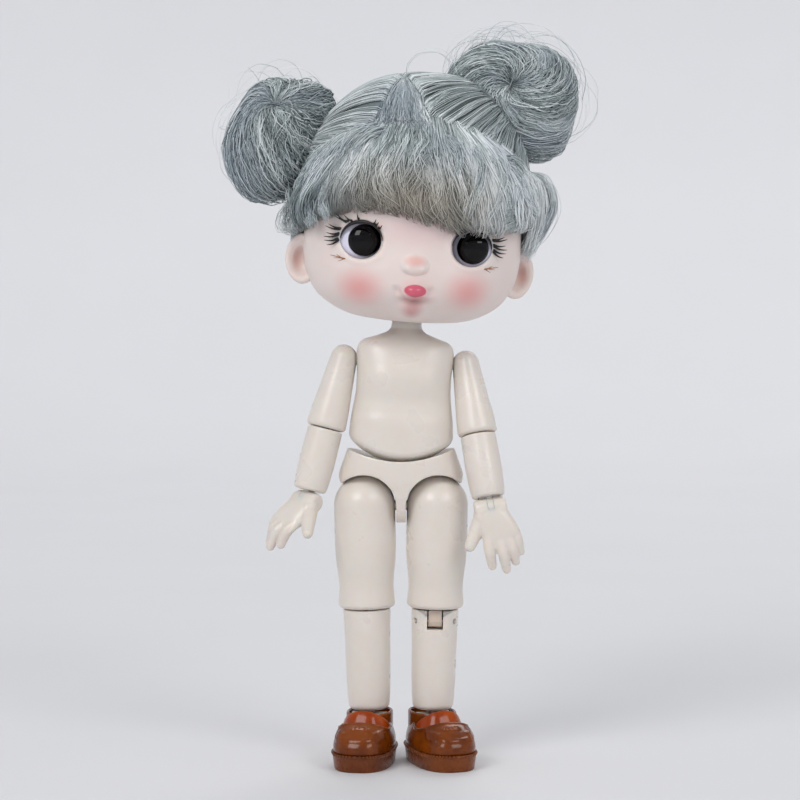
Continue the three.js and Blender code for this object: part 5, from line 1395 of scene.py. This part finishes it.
def hairMaterial(name, dark, middle, light, strands):
    # silver grey fibre: a tone for each strand, slow clouds of tint, and a sheen drawn out along the strand
    paint = Finish(name)
    fine = paint.noise(fibre["fine"], 2)
    ramp = paint.node("ValToRGB", {"Fac": paint.attribute("tone") if strands else fine})
    stops = ramp.color_ramp.elements
    stops[0].color, stops[0].position = dark, 0.05
    stops[1].color, stops[1].position = light, 0.95
    stops.new(0.5).color = middle
    cloud = paint.spread(paint.noise(fibre["clouds"]), fibre["cloudRange"], fibre["cloudAmount"], True)
    colour = paint.blend(cloud, ramp.outputs["Color"], fibre["cool"])
    if strands:
        # warmth above 0 is beige, below 0 blue
        for end, tint in ((1, "beige"), (-1, "blue")):
            amount = paint.spread(paint.attribute("warmth"), (0, end), (0, 1))
            colour = paint.blend(amount, colour, fibre[tint])
        paint.wear({"Tangent": paint.attribute("along", "Vector"), "Anisotropic": fibre["drawnOut"]})
    return paint.wear({"Base Color": colour, "Roughness": paint.spread(fine, middleOfNoise, fibre["roughness"])})


hairFibre = hairMaterial("hairFibre", sRGB(108, 119, 119), sRGB(180, 191, 190), sRGB(242, 247, 248), True)
# the bases under the strands are dark as painted shade: they stand for the shadow in the gaps between strands
hairUnderPaintedShade = hairMaterial("hairUnderPaintedShade", sRGB(84, 93, 94), sRGB(106, 115, 115), sRGB(128, 137, 136), False)
hairTie = plainMaterial("hairTie", sRGB(96, 102, 102), sRGB(80, 86, 86), (0.5, 0.7), 300)


def edgeHeight(angle):
    # lower edge of the hair round the head: high in front and over the ears, low at the nape
    s = sin(angle)
    front = hair["lowSide"] + (hair["lowFront"] - hair["lowSide"]) * clip(-s, 0, 1) ** 0.6
    back = hair["lowBack"] + (hair["lowSide"] - hair["lowBack"]) * (1 - clip(s, 0, 1) ** 0.55)
    return where(s < 0, front, back)


def thetaAt(height, offset=0):
    return np.arccos(clip((headMiddle - height) / (head["height"] / 2 + offset), -1, 1))


def makeCap():
    columns, rows = 160, 46
    angle = 2 * pi * arange(columns) / columns
    share = linspace(0, 1, rows)[:, None]
    loops = []
    for offset in (hair["thick"], gap):
        low = thetaAt(edgeHeight(angle), offset)
        theta = low + (pi - 0.02 - low) * share
        edge = 0.9 * clip(1 - share * 14, 0, 1) ** 2 if offset > gap else 0
        loops.append(headPoint(theta, angle[None] + 0 * theta, offset - edge))
    outer, inner = loops
    grid = concatenate([inner[::-1], outer])
    obj = meshObject("hairCapBase", shellOf(grid), places["head"], 180)
    finishPiece(obj, "head", hairUnderPaintedShade, ["wig_cap"])


def fringeEdges(angle):
    x = head["halfWidth"] * cos(angle)
    low, top = (array(hair[key], float) for key in ("fringeLow", "fringeTop"))
    return (smoothCurve(low[:, 0], low[:, 1], x.ravel()).reshape(x.shape),
            smoothCurve(top[:, 0], top[:, 1], x.ravel()).reshape(x.shape))


def fringePoint(share, angle, lift=0):
    # share 0 at the roll's upper edge, 1 at its lower edge
    low, top = fringeEdges(angle)
    table = array(hair["roll"])
    offset = smoothCurve(table[:, 0], table[:, 1], clip(share, 0, 1).ravel()).reshape(share.shape)
    ends = clip(1 - ((angle - 1.5 * pi) / 1.62) ** 6, 0, 1)
    offset = gap + (offset - gap) * ends + lift
    theta = thetaAt(top + (low - top) * share)
    return headPoint(theta, angle, offset)


def makeFringeBase():
    columns = 120
    angle = linspace(math.radians(184), math.radians(356), columns)[:, None]
    down = linspace(0, 0.84, 22)[None]
    outer = fringePoint(down + 0 * angle, angle + 0 * down, -0.9)
    low, top = fringeEdges(angle)
    inner = headPoint(thetaAt(top + (low - top) * down[:, ::-1]), angle + 0 * down, gap)
    grid = concatenate([outer, inner], axis=1)
    obj = meshObject("fringeBase", shellOf(grid), places["head"], 180)
    finishPiece(obj, "head", hairUnderPaintedShade, ["wig_fringe"])


def tonesFor(locks, lockOf, byLock=0.2, single=0.2):
    tone = 0.5 + byLock * normal(locks)[lockOf] + single * normal(len(lockOf))
    return clip(tone, 0, 1)


# where the combed hair starts, all round one side: x is a share of the parting's place, a part to the side, and y, z
combedBorder = array([[1, 3.1, -15.5, 44], [1, 0, -6, 50.2], [1, 0, 3, 50.5], [1, 0, 12, 45.5], [1, 0, 20, 34],
                         [1, 0, 23, 20], [1, 0, 22, 8], [1, 4, 20, 3.5], [0, 15, 16, 3.4], [0, 21, 9, 5.5],
                         [0, 24, 4, 11], [0, 25, 0.5, 17], [0, 25, -2, 23], [0, 24.5, -5, 28], [0, 21, -11, 32.8],
                         [0, 15, -17.5, 36.6], [1, 9, -20, 38.6], [1, 5.2, -18.5, 40.2], [1, 3.6, -16.8, 42.8]])
partingDrift = array([0, 0, 0, 2, 5, 5, 5, 5] + [0] * 11)  # how far the parting wanders to the left at the back


def combedSide(tag, side):
    # from the parting, the hairline over the fringe, the temple and the nape to the band of the bun
    count, locks, radius = counts["combed"]
    part = hair["part"]
    border = combedBorder[:, 1:].copy()
    border[:, 0] = combedBorder[:, 0] * part + partingDrift + side * combedBorder[:, 1]
    lockOf = chance.integers(0, locks, count)
    place = clip((lockOf + 0.5 + 0.9 * normal(count) * 0.5) / locks, 0, 1)
    weight = np.linalg.norm(np.diff(border, axis=0), axis=1)
    spacing = concatenate([[0], np.cumsum(weight)]) / weight.sum()
    start = smoothCurve(spacing, border, place) - heart
    onPart = exp(-(((start[:, 0] - part) / 4.5) ** 2)) * clip((start[:, 1] + 8) / 8, 0, 1)
    start[:, 0] -= side * onPart * (uniform(1.2, 2.6, count) + 1.2 * clip(start[:, 1] / 10, 0, 1))
    bun = buns[tag]
    toBun = unit(array(bun["centre"]) - heart)
    spin = place * 2 * pi
    # the strands meet the band all round, on the side that they come from
    startUnit = unit(start)
    away = startUnit - toBun * (startUnit @ toBun)[:, None]
    ring = unit(away) * (bun["ring"] + 0.02 * normal((count, 1)))
    end = unit(toBun + ring)
    s = linspace(0, 1, 10)[None, :, None]
    curve = unit(startUnit[:, None] * (1 - s) + end[:, None] * s)
    # a slight arch, and the combed wave of each lock
    across = unit(cross(startUnit, end))
    wave = (0.018 * sin(pi * s) * normal(locks)[lockOf][:, None, None]
            + 0.006 * normal((count, 1, 1)) * sin(pi * s)
            + 0.007 * sin(5 * s + spin[:, None, None] * 9) * sin(pi * s))
    curve = unit(curve + across[:, None] * wave)
    depth = uniform(0, 1, count)[:, None]
    lockLift = 0.2 * sin(lockOf * 2.4)[:, None] * sin(pi * s[..., 0])
    offset = 2.3 + 0.8 * depth + lockLift + 1.3 * s[..., 0] ** 3 - 1.5 * clip(1 - 9 * s[..., 0], 0, 1)
    paths = onHead(curve, offset)
    radii = (radius + uneven(count, 0.02)) * (1 - 0.35 * s[..., 0])
    # a painted highlight: the tone is raised where the turned over roots along the hairline catch the light, and evenly
    # by a little over the whole side
    forehead = clip((-8 - start[:, 1]) / 6, 0, 1)[:, None]
    atRoots, allOver = (0.4, 0.02) if tag == "l" else (0.15, 0.14)
    bright = atRoots * forehead * exp(-((s[..., 0] / 0.12) ** 2)) + allOver
    strandMesh("combedHair_" + tag, paths, radii, curve, tonesFor(locks, lockOf, 0.1, 0.24)[:, None] + bright)


def fringeStrands(name, first, last, upper):
    # wavy locks come from the middle of the hairline, fall over the roll and turn sideways under its edge;
    # the upper layer is shorter and stands off in loose curls
    count, locks, radius = counts["curls" if upper else "fringe"]
    lockOf = chance.integers(0, locks, count)
    middle = (lockOf + 0.5) / locks
    place = middle + normal(count) * (1.1 if upper else 0.8) / locks
    s = linspace(0, 1, 14)[None]
    if upper:
        begin = uniform(-0.06, 0.5, (locks, 1))[lockOf] + 0.05 * normal((count, 1))
        length = uniform(0.42, 0.8, (locks, 1))[lockOf]
    else:
        begin, length = -0.05, 1 + 0.05 * normal((count, 1))
    share = begin + length * s
    low, high = math.radians(first), math.radians(last)
    tip = low + (high - low) * (place[:, None] * (1 - 0.45 * s**2) + middle[:, None] * 0.45 * s**2)
    root = 1.5 * math.pi - 0.08
    angle = root + (tip - root) * (0.68 + 0.32 * clip(share, 0, 1) ** 0.75)
    phase = uniform(0, 2 * pi, (locks, 2))[lockOf] + 0.4 * normal((count, 2))
    strength = uniform(0.4, 1.4, locks)[lockOf][:, None]
    turns = uniform(4.5, 8.5, (locks, 1))[lockOf]
    frizz = uniform(18, 28, (count, 1)) * (0.7 if upper else 1)
    angle = angle + (0.3 + 0.7 * s) * ((0.05 if upper else 0.027) * strength * sin(phase[:, :1] + turns * s)
                                       + 0.0045 * sin(frizz * s + 7 * phase[:, 1:])
                                       + 0.012 * normal((count, 1)))
    # the tips run on along the lower edge
    sideways = uniform(0.1, 1, (count, 1)) * where(cos(tip[:, -1:]) > -0.55, 1, -0.25)
    over = clip((share - 0.68) / 0.32, 0, 1.2)
    angle = angle + 0.16 * sideways * over**1.5
    share = share - 0.1 * sideways * over**2
    depth = uniform(0, 1, (count, 1))
    lift = 0.95 * depth - 0.6 + 0.45 * strength * sin(phase[:, 1:] + 0.8 * turns * s) * sin(pi * s)
    lift = lift + 0.06 * sin(0.8 * frizz * s + 5 * phase[:, :1])
    if upper:
        lift = lift + 0.3 + 0.9 * sin(pi * s) * strength * 0.7
    paths = fringePoint(clip(share, -0.05, 1.02), clip(angle, math.radians(182), math.radians(358)), lift)
    curlUnder = clip((share - 0.84) / 0.18, 0, 1)[..., None]
    paths = paths + curlUnder**1.6 * array([0, 1, 0.35]) * uniform(1.2, 2.6, (count, 1, 1))
    radii = (radius + uneven(count, 0.03)) * (1 - 0.72 * s**2.5)
    # beige in the middle and below; a painted highlight along the top of the roll, lighter tone at both ends, and
    # painted shade on the lower part of the roll, away from its end on the doll's left
    x, z = paths[..., 0], paths[..., 2]
    warmth = 0.85 * clip(1 - np.abs(x + 2) / 21, 0, 1) ** 0.6 * clip((34 - z) / 11, 0, 1)
    bright = (0.26 * exp(-(((z - 31) / 4.5) ** 2)) + 0.46 * clip((x - 7) / 8, 0, 1)
              + 0.1 * clip((-14 - x) / 8, 0, 1) - 0.44 * clip((26 - z) / 6, 0, 1) * clip((13 - x) / 8, 0, 1))
    strandMesh(name, paths, radii, unit(paths - heart), tonesFor(locks, lockOf)[:, None] + bright, warmth)


def partingFan():
    # from the parting forward and down: a narrow wedge of hair that feeds the roll, tinted blue as painted shade, with
    # a painted highlight along its edge on the doll's left
    count, locks, radius = counts["parting"]
    lockOf = chance.integers(0, locks, count)
    place = (lockOf + 0.5 + 0.8 * normal(count)) / locks * 2 - 1
    s = linspace(0, 1, 13)[None, :, None]
    up = uniform(0, 1, (count, 1))
    start = column_stack([hair["part"] + 0.4 * place[:, None] + 0.2, -5 - 8.5 * up, 50.3 - 4.4 * up]) - heart
    angle = 1.5 * pi - 0.17 + where(place < 0, 0.36, 0.22) * place
    end = fringePoint(0.03 + 0.3 * uniform(0, 1, count) ** 2, angle, 0) - heart
    path = unit(unit(start)[:, None] * (1 - s) + unit(end)[:, None] * s)
    path = unit(path + 0.045 * sin(pi * s) * array([1, 0, 0]) * normal((count, 1, 1)))
    lift = 1.9 + 0.7 * uniform(0, 1, (count, 1)) + 1.3 * s[..., 0] ** 3 - 0.5 * np.abs(place[:, None]) ** 3
    paths = onHead(path, lift)
    radii = radius * (1 - 0.4 * s[..., 0]) * (1 + uneven(count, 0.2))
    # painted highlight: lighter tone along the edge on the doll's left; painted shade: a blue tint over the rest of the
    # wedge
    tones = tonesFor(locks, lockOf) + 0.06 + 0.4 * clip((place - 0.5) / 0.4, 0, 1)
    strandMesh("partingFan", paths, radii, path, tones, -0.2 + 0.2 * clip((place[:, None] - 0.4) / 0.5, 0, 1))


def frontCurls():
    # loose curls over the roll: arcs at the right temple, rings at the left one; ways as [x, z] on the face
    ways = {
        "r": [[(-9, 37.8), (-12, 37), (-15, 34), (-16.5, 30)], [(-10, 38), (-15, 37), (-18.5, 33), (-20, 28)],
              [(-13.5, 37.2), (-18.4, 35), (-21.6, 30.6), (-22.8, 25)],
              [(-17, 35.8), (-21.4, 32.8), (-24.2, 28), (-24.8, 22)], [(-20, 34), (-24, 30.6), (-26, 25.6), (-26, 19)],
              [(-18, 31), (-22, 28), (-22.6, 22), (-21, 17.4)], [(-22, 28), (-25, 24), (-25, 19), (-23.6, 15.6)]],
        "l": [[(15.5, 32.8), (20.5, 33.2), (24.6, 28.4), (24.2, 21.4), (20.4, 18)],
              [(16.5, 31.6), (20.6, 31.4), (23.2, 27.4), (22.6, 22.2), (18.8, 20)],
              [(17.6, 30), (20.8, 29), (22, 26), (21, 22.8), (18.4, 22.4)],
              [(12.5, 34.6), (16.2, 33), (18.2, 28.6), (17.4, 23.4), (15.4, 19.6)],
              [(8.5, 36), (11.4, 34), (13, 30), (12, 25), (10.6, 21)],
              [(3.5, 37.6), (6.2, 35.8), (7.8, 32), (7.2, 28), (6.2, 24.6)]],
    }
    for tag, arcs in ways.items():
        paths, tones = [], []
        s = linspace(0, 1, 13)
        for arc in arcs:
            line = smoothCurve(linspace(0, 1, len(arc)), array(arc, float), s)
            for _ in range(64):
                drift = 0.55 * normal((2, 2))
                flat = line + drift[0] + drift[1] * (s[:, None] - 0.4)
                flat = flat + 0.22 * sin(uniform(24, 34) * s + uniform(0, 6))[:, None] * [0.8, 0.5]
                lift = 1.8 + 3 * clip(s / 0.35, 0, 1) ** 0.7 + 0.25 * normal()
                lift = lift + uniform(0.1, 1.3) * sin(pi * clip(s, 0, 1))
                lift = lift - 2 * clip((np.abs(flat[:, 0]) - 20) / 7, 0, 1)
                paths.append(column_stack([flat[:, 0], faceY(flat[:, 0], flat[:, 1], lift), flat[:, 1]]))
                tones.append(0.66 + 0.2 * normal())
        paths = array(paths)
        radii = 0.1 * (1 - 0.6 * s[None] ** 2) + 0 * paths[..., 0]
        strandMesh("frontCurls_" + tag, paths, radii, unit(paths - heart), array(tones))


def makeBun(tag):
    size = buns[tag]
    count, locks, radius = counts["bun"]
    centre, radii3 = array(size["centre"]), array(size["radii"])
    # the base is a ball with soft lobes
    turn = linspace(-pi / 2, pi / 2, 42)[1:-1]
    angle = 2 * pi * arange(72) / 72
    unitBall = stack([cos(turn)[:, None] * cos(angle), cos(turn)[:, None] * sin(angle),
                         sin(turn)[:, None] + 0 * angle], -1)
    obj = meshObject("bunBase_" + tag, shellOf(centre + bunShape(tag, unitBall) * (radii3 - 1)), places["head"], 180)
    finishPiece(obj, "head", hairUnderPaintedShade, ["hair_bun_" + tag])
    axis = unit(array(size["axis"]))
    first = unit(cross(axis, [0.2, 0.3, 1]))
    second = cross(axis, first)
    lockOf = chance.integers(0, locks, count)
    around = 2 * pi * ((lockOf + 0.5) / locks + normal(count) * 0.8 / locks)
    startAt = chance.beta(1, 1.6, count) * 1.9
    s = linspace(0, 1, 12)[None]
    length = uniform(0.75, 1.3, count)[:, None]
    polar = 0.03 + startAt[:, None] + length * s
    swirl = around[:, None] + size["twist"] * (0.75 + 0.15 * sin(3 * around[:, None])) * (polar - 0.1) * 0.8
    messy = normal((locks, 2))[lockOf] + 0.45 * normal((count, 2))
    polar = polar + 0.07 * messy[:, :1] * sin(2.5 * s + messy[:, 1:] * 3)
    crimp = (16 + 4 * messy[:, :1]) * length * s + 5 * messy[:, 1:] + 0.6 * normal((count, 1))
    crimp = 0.024 * sin(crimp)
    swirl = swirl + (0.12 * messy[:, 1:] * sin(3.4 * s + messy[:, :1] * 4) + crimp) / clip(sin(polar), 0.3, 1)
    direction = (cos(polar)[..., None] * axis + sin(polar)[..., None]
                 * (cos(swirl)[..., None] * first + sin(swirl)[..., None] * second))
    depth = uniform(-0.9, 0.35, count)[:, None] + 0.35 * sin(lockOf * 1.9)[:, None] * sin(pi * s)
    pit = -0.3 * exp(-((polar / 0.17) ** 2))
    shape = bunShape(tag, direction)
    paths = centre + shape * (radii3 + (depth + pit)[..., None])
    # where a strand would enter the head it lies on the hair instead
    floorLift = 2.7 + 0.5 * uniform(0, 1, (count, 1)) + 0 * polar
    resting = onHead(paths - heart, floorLift)
    paths = where(insideHead(paths, floorLift)[..., None], resting, paths)
    radii = (radius + uneven(count, 0.025)) * (1 - 0.6 * np.abs(2 * s - 1) ** 3)
    cool = -0.2 * clip(sin(2.2 * around + 1), 0, 1)[:, None]
    strandMesh("bunHair_" + tag, paths, radii, direction, tonesFor(locks, lockOf, 0.16, 0.24), cool)


def bunShape(tag, direction):
    # lobes and creases of the wound hair: the radius swells and sinks with the direction
    x, y, z = direction[..., 0], direction[..., 1], direction[..., 2]
    if tag == "r":
        swell = 0.04 * sin(3.1 * x + 2.2 * z + 0.6) + 0.03 * sin(4.7 * z - 2 * x)
    else:
        swell = 0.035 * sin(3.4 * x - 2.5 * z + 0.9) + 0.03 * sin(5 * x + 3.2 * z + 1.2)
        swell = swell - 0.08 * exp(-(((x + z * 0.8 + 0.02) / 0.12) ** 2)) * clip(-y, 0, 1) ** 2
    for towards, amount, width in buns[tag]["lobes"] + [(buns[tag]["axis"], -0.2, 0.17)]:
        swell = swell + amount * exp((direction @ unit(towards) - 1) / width**2)
    return direction * (0.985 + swell)[..., None]


def looseHairs(name, ways, count, radius, wander, tone):
    # stray hairs: copies of a few open curves, each wandering on its own
    paths, s = [], linspace(0, 1, 14)[:, None]
    for way in ways:
        base = smoothCurve(linspace(0, 1, len(way)), array(way, float), s[:, 0])
        for _ in range(count):
            drift = normal((2, 3)) * wander
            paths.append(base + drift[0] * s + drift[1] * sin(pi * s))
    paths = array(paths)
    radii = radius * (1 - 0.6 * s.T**2) + 0 * paths[..., 0]
    outward = unit(paths - heart + [0.01, 0.02, 0.03])
    strandMesh(name, paths, radii, outward, clip(tone + 0.2 * normal(len(paths)), 0, 1), flat=1.1)


def ringlet(start, drop, width, turns, phase):
    s = linspace(0, 1, 26)
    angle = phase + 2 * pi * turns * s
    x = start[0] + drop[0] * s + width * cos(angle) * (0.5 + 0.5 * s)
    y = start[1] + drop[1] * s + 0.5 * width * sin(angle * 1.1)
    z = start[2] + drop[2] * s + width * sin(angle)
    return stack([x, y, z], -1)


def makeLooseHair():
    # fly-away hairs over both buns and the crown
    ways = []
    for tag, number in (("r", 40), ("l", 64)):
        centre, radii3 = array(buns[tag]["centre"]), array(buns[tag]["radii"])
        for _ in range(number):
            d = unit(normal(3) * [1, 0.3, 1] + [0, 0, 0.6])
            if d[2] < -0.2 and d[0] * centre[0] < 0:
                continue
            t = unit(cross(d, normal(3) * [0.35, 1, 0.35]))
            s = linspace(0, 1, 6)[:, None]
            reach = 1 + uniform(0.08, 0.34) * sin(pi * (0.1 + 0.75 * s)) + 0.05 * s
            ways.append(centre + unit(d + t * (s - 0.4) * uniform(0.8, 1.7)) * radii3 * reach)
    looseHairs("flyawayHair", ways, 1, 0.06, 0.35, 0.7)
    # a loop over the parting
    loop = [(-4.6, -5, 50.5), (-4.4, -5, 53.6), (-1.8, -4.5, 56.8), (2.2, -3.5, 57.6), (5.6, -2, 55.4), (6.4, -1, 52.8)]
    looseHairs("partingLoop", [loop], 3, 0.08, 0.3, 0.8)
    # curls before the right ear and a lock before the left one
    curls = [ringlet((-28.2, -3, 25), (-1.6, 0.5, -11), 1.5, 2.3, 0.4),
             ringlet((-27.2, -4, 20), (-3.6, 0, -5.6), 1.9, 1.8, 2),
             ringlet((-29, -2, 22), (0.3, 0, -9), 1.3, 2.6, 4),
             ringlet((-26.4, -6, 19), (-1.8, 0, -5), 1.2, 2, 1)]
    looseHairs("templeCurls_r", curls, 15, 0.075, 0.45, 0.6)
    lock = [[(24.5, -7, 31.5), (29.4, -5.5, 29.6), (31.6, -4, 24), (29.4, -3, 17.6), (26.2, -4, 13.4)],
            [(24, -6, 31.5), (27.6, -6.5, 28.4), (28.8, -5.6, 22.8), (27.8, -4.6, 16.8), (26.4, -4.4, 12.6)],
            [(23, -9, 32), (26.5, -9, 29), (27.6, -8, 22.8), (27, -6.6, 17.6), (26.2, -5, 13.6)],
            [(24.2, -3, 30.5), (28.6, -2, 27.6), (29.6, -1.4, 21.8), (28.6, -1.6, 16.6), (26.8, -2.6, 12.4)]]
    looseHairs("templeLock_l", lock, 120, 0.105, 0.6, 0.92)


makeCap()
makeFringeBase()
for tag, side in sides:
    combedSide(tag, side)
    makeBun(tag)
for tag, first, last in (("r", 184, 272), ("l", 266, 356)):
    fringeStrands("fringeHair_" + tag, first, last, False)
    fringeStrands("fringeCurls_" + tag, first, last, True)
partingFan()
frontCurls()
makeLooseHair()
print("hair made")

# what stays from the frame gets its own finish
for name, node in frame["nodes"].items():
    if "_pin_" in name or name == "hip_axle":
        dress(node, pinSteel)
    elif "bun_tie" in name:
        dress(node, hairTie)
    elif "_joint_" in name or name in ("waist_ball", "waist_post", "neck_ball", "neck_post", "neck_socket"):
        dress(node, jointPlastic)
    else:
        dress(node, skinPlastic)

# floor, light and camera
stage = {"floor": sRGB(226, 226, 228), "floorDeep": sRGB(222, 222, 224), "mottle": 12, "floorRoughness": 0.75,
         # millimetres: the flat part's radius, the bend's radius, and how high the wall goes
         "flat": 820, "bend": 420, "top": 620,
         "cameraDistance": 600, "cameraHeight": 115, "cameraX": -0.457,
         "middleHeight": 84.4, "dollDepth": 1.124, "frameHeight": 186.08,
         # each lamp: place and aim in millimetres, size in metres, watts
         "lamps": {"keyLight": ((-840, -1240, 1120), (0, 0, 100), (0.84, 0.84), 14.4),
                   "fillLight": ((960, -1160, 980), (0, 0, 90), (0.7, 0.7), 7.6),
                   "rimLight": ((240, 1040, 1120), (0, 0, 110), (1, 0.6), 5.5)},
         "sky": (0.93, 0.95, 1, 1), "skyStrength": 0.42}


def makeStage():
    # a round floor that rises into a wall all round, so that every side has the same pale ground
    flat, bend, top = stage["flat"], stage["bend"], stage["top"]
    angle = radians(linspace(0, 90, 19))
    reach = concatenate([[4, 300, 600, flat], flat + bend * sin(angle[1:]), [flat + bend]])
    height = concatenate([[0, 0, 0, 0], bend - bend * cos(angle[1:]), [top]])
    around = 2 * pi * arange(96) / 96
    grid = stack([reach[:, None] * cos(around), reach[:, None] * sin(around),
                     height[:, None] + 0 * around], -1)
    floor = meshObject("floor", shellOf(grid, closeLow=True, closeHigh=False), sharp=180)
    paint = Finish("paleFloor")
    colour = paint.blend(paint.noise(stage["mottle"]), stage["floor"], stage["floorDeep"])
    dress(floor, paint.wear({"Base Color": colour, "Roughness": stage["floorRoughness"]}))


def softLight(name, at, aim, size, power):
    lamp = bpy.data.lights.new(name, "AREA")
    lamp.shape, lamp.size, lamp.size_y = "RECTANGLE", size[0], size[1]
    lamp.energy = power
    obj = bpy.data.objects.new(name, lamp)
    bpy.context.scene.collection.objects.link(obj)
    obj.location = Vector(at) * mm
    obj.rotation_euler = (Vector(aim) * mm - obj.location).to_track_quat("-Z", "Y").to_euler()


def makeCamera():
    data = bpy.data.cameras.new("camera")
    camera = bpy.data.objects.new("camera", data)
    bpy.context.scene.collection.objects.link(camera)
    eye = Vector((stage["cameraX"], stage["dollDepth"] - stage["cameraDistance"], stage["cameraHeight"]))
    target = Vector((stage["cameraX"], stage["dollDepth"], stage["middleHeight"]))
    camera.location = eye * mm
    camera.rotation_euler = (target - eye).to_track_quat("-Z", "Y").to_euler()
    data.angle = 2 * math.atan(stage["frameHeight"] / 2 / (target - eye).length)
    data.clip_start, data.clip_end = 0.01, 10
    bpy.context.scene.camera = camera


makeStage()
makeCamera()
for name, lamp in stage["lamps"].items():
    softLight(name, *lamp)
world = bpy.data.worlds.new("studio")
world.use_nodes = True
sky = world.node_tree.nodes["Background"].inputs
sky["Color"].default_value, sky["Strength"].default_value = stage["sky"], stage["skyStrength"]
bpy.context.scene.world = world
bpy.context.scene.view_settings.view_transform = "Standard"
print("stage set")
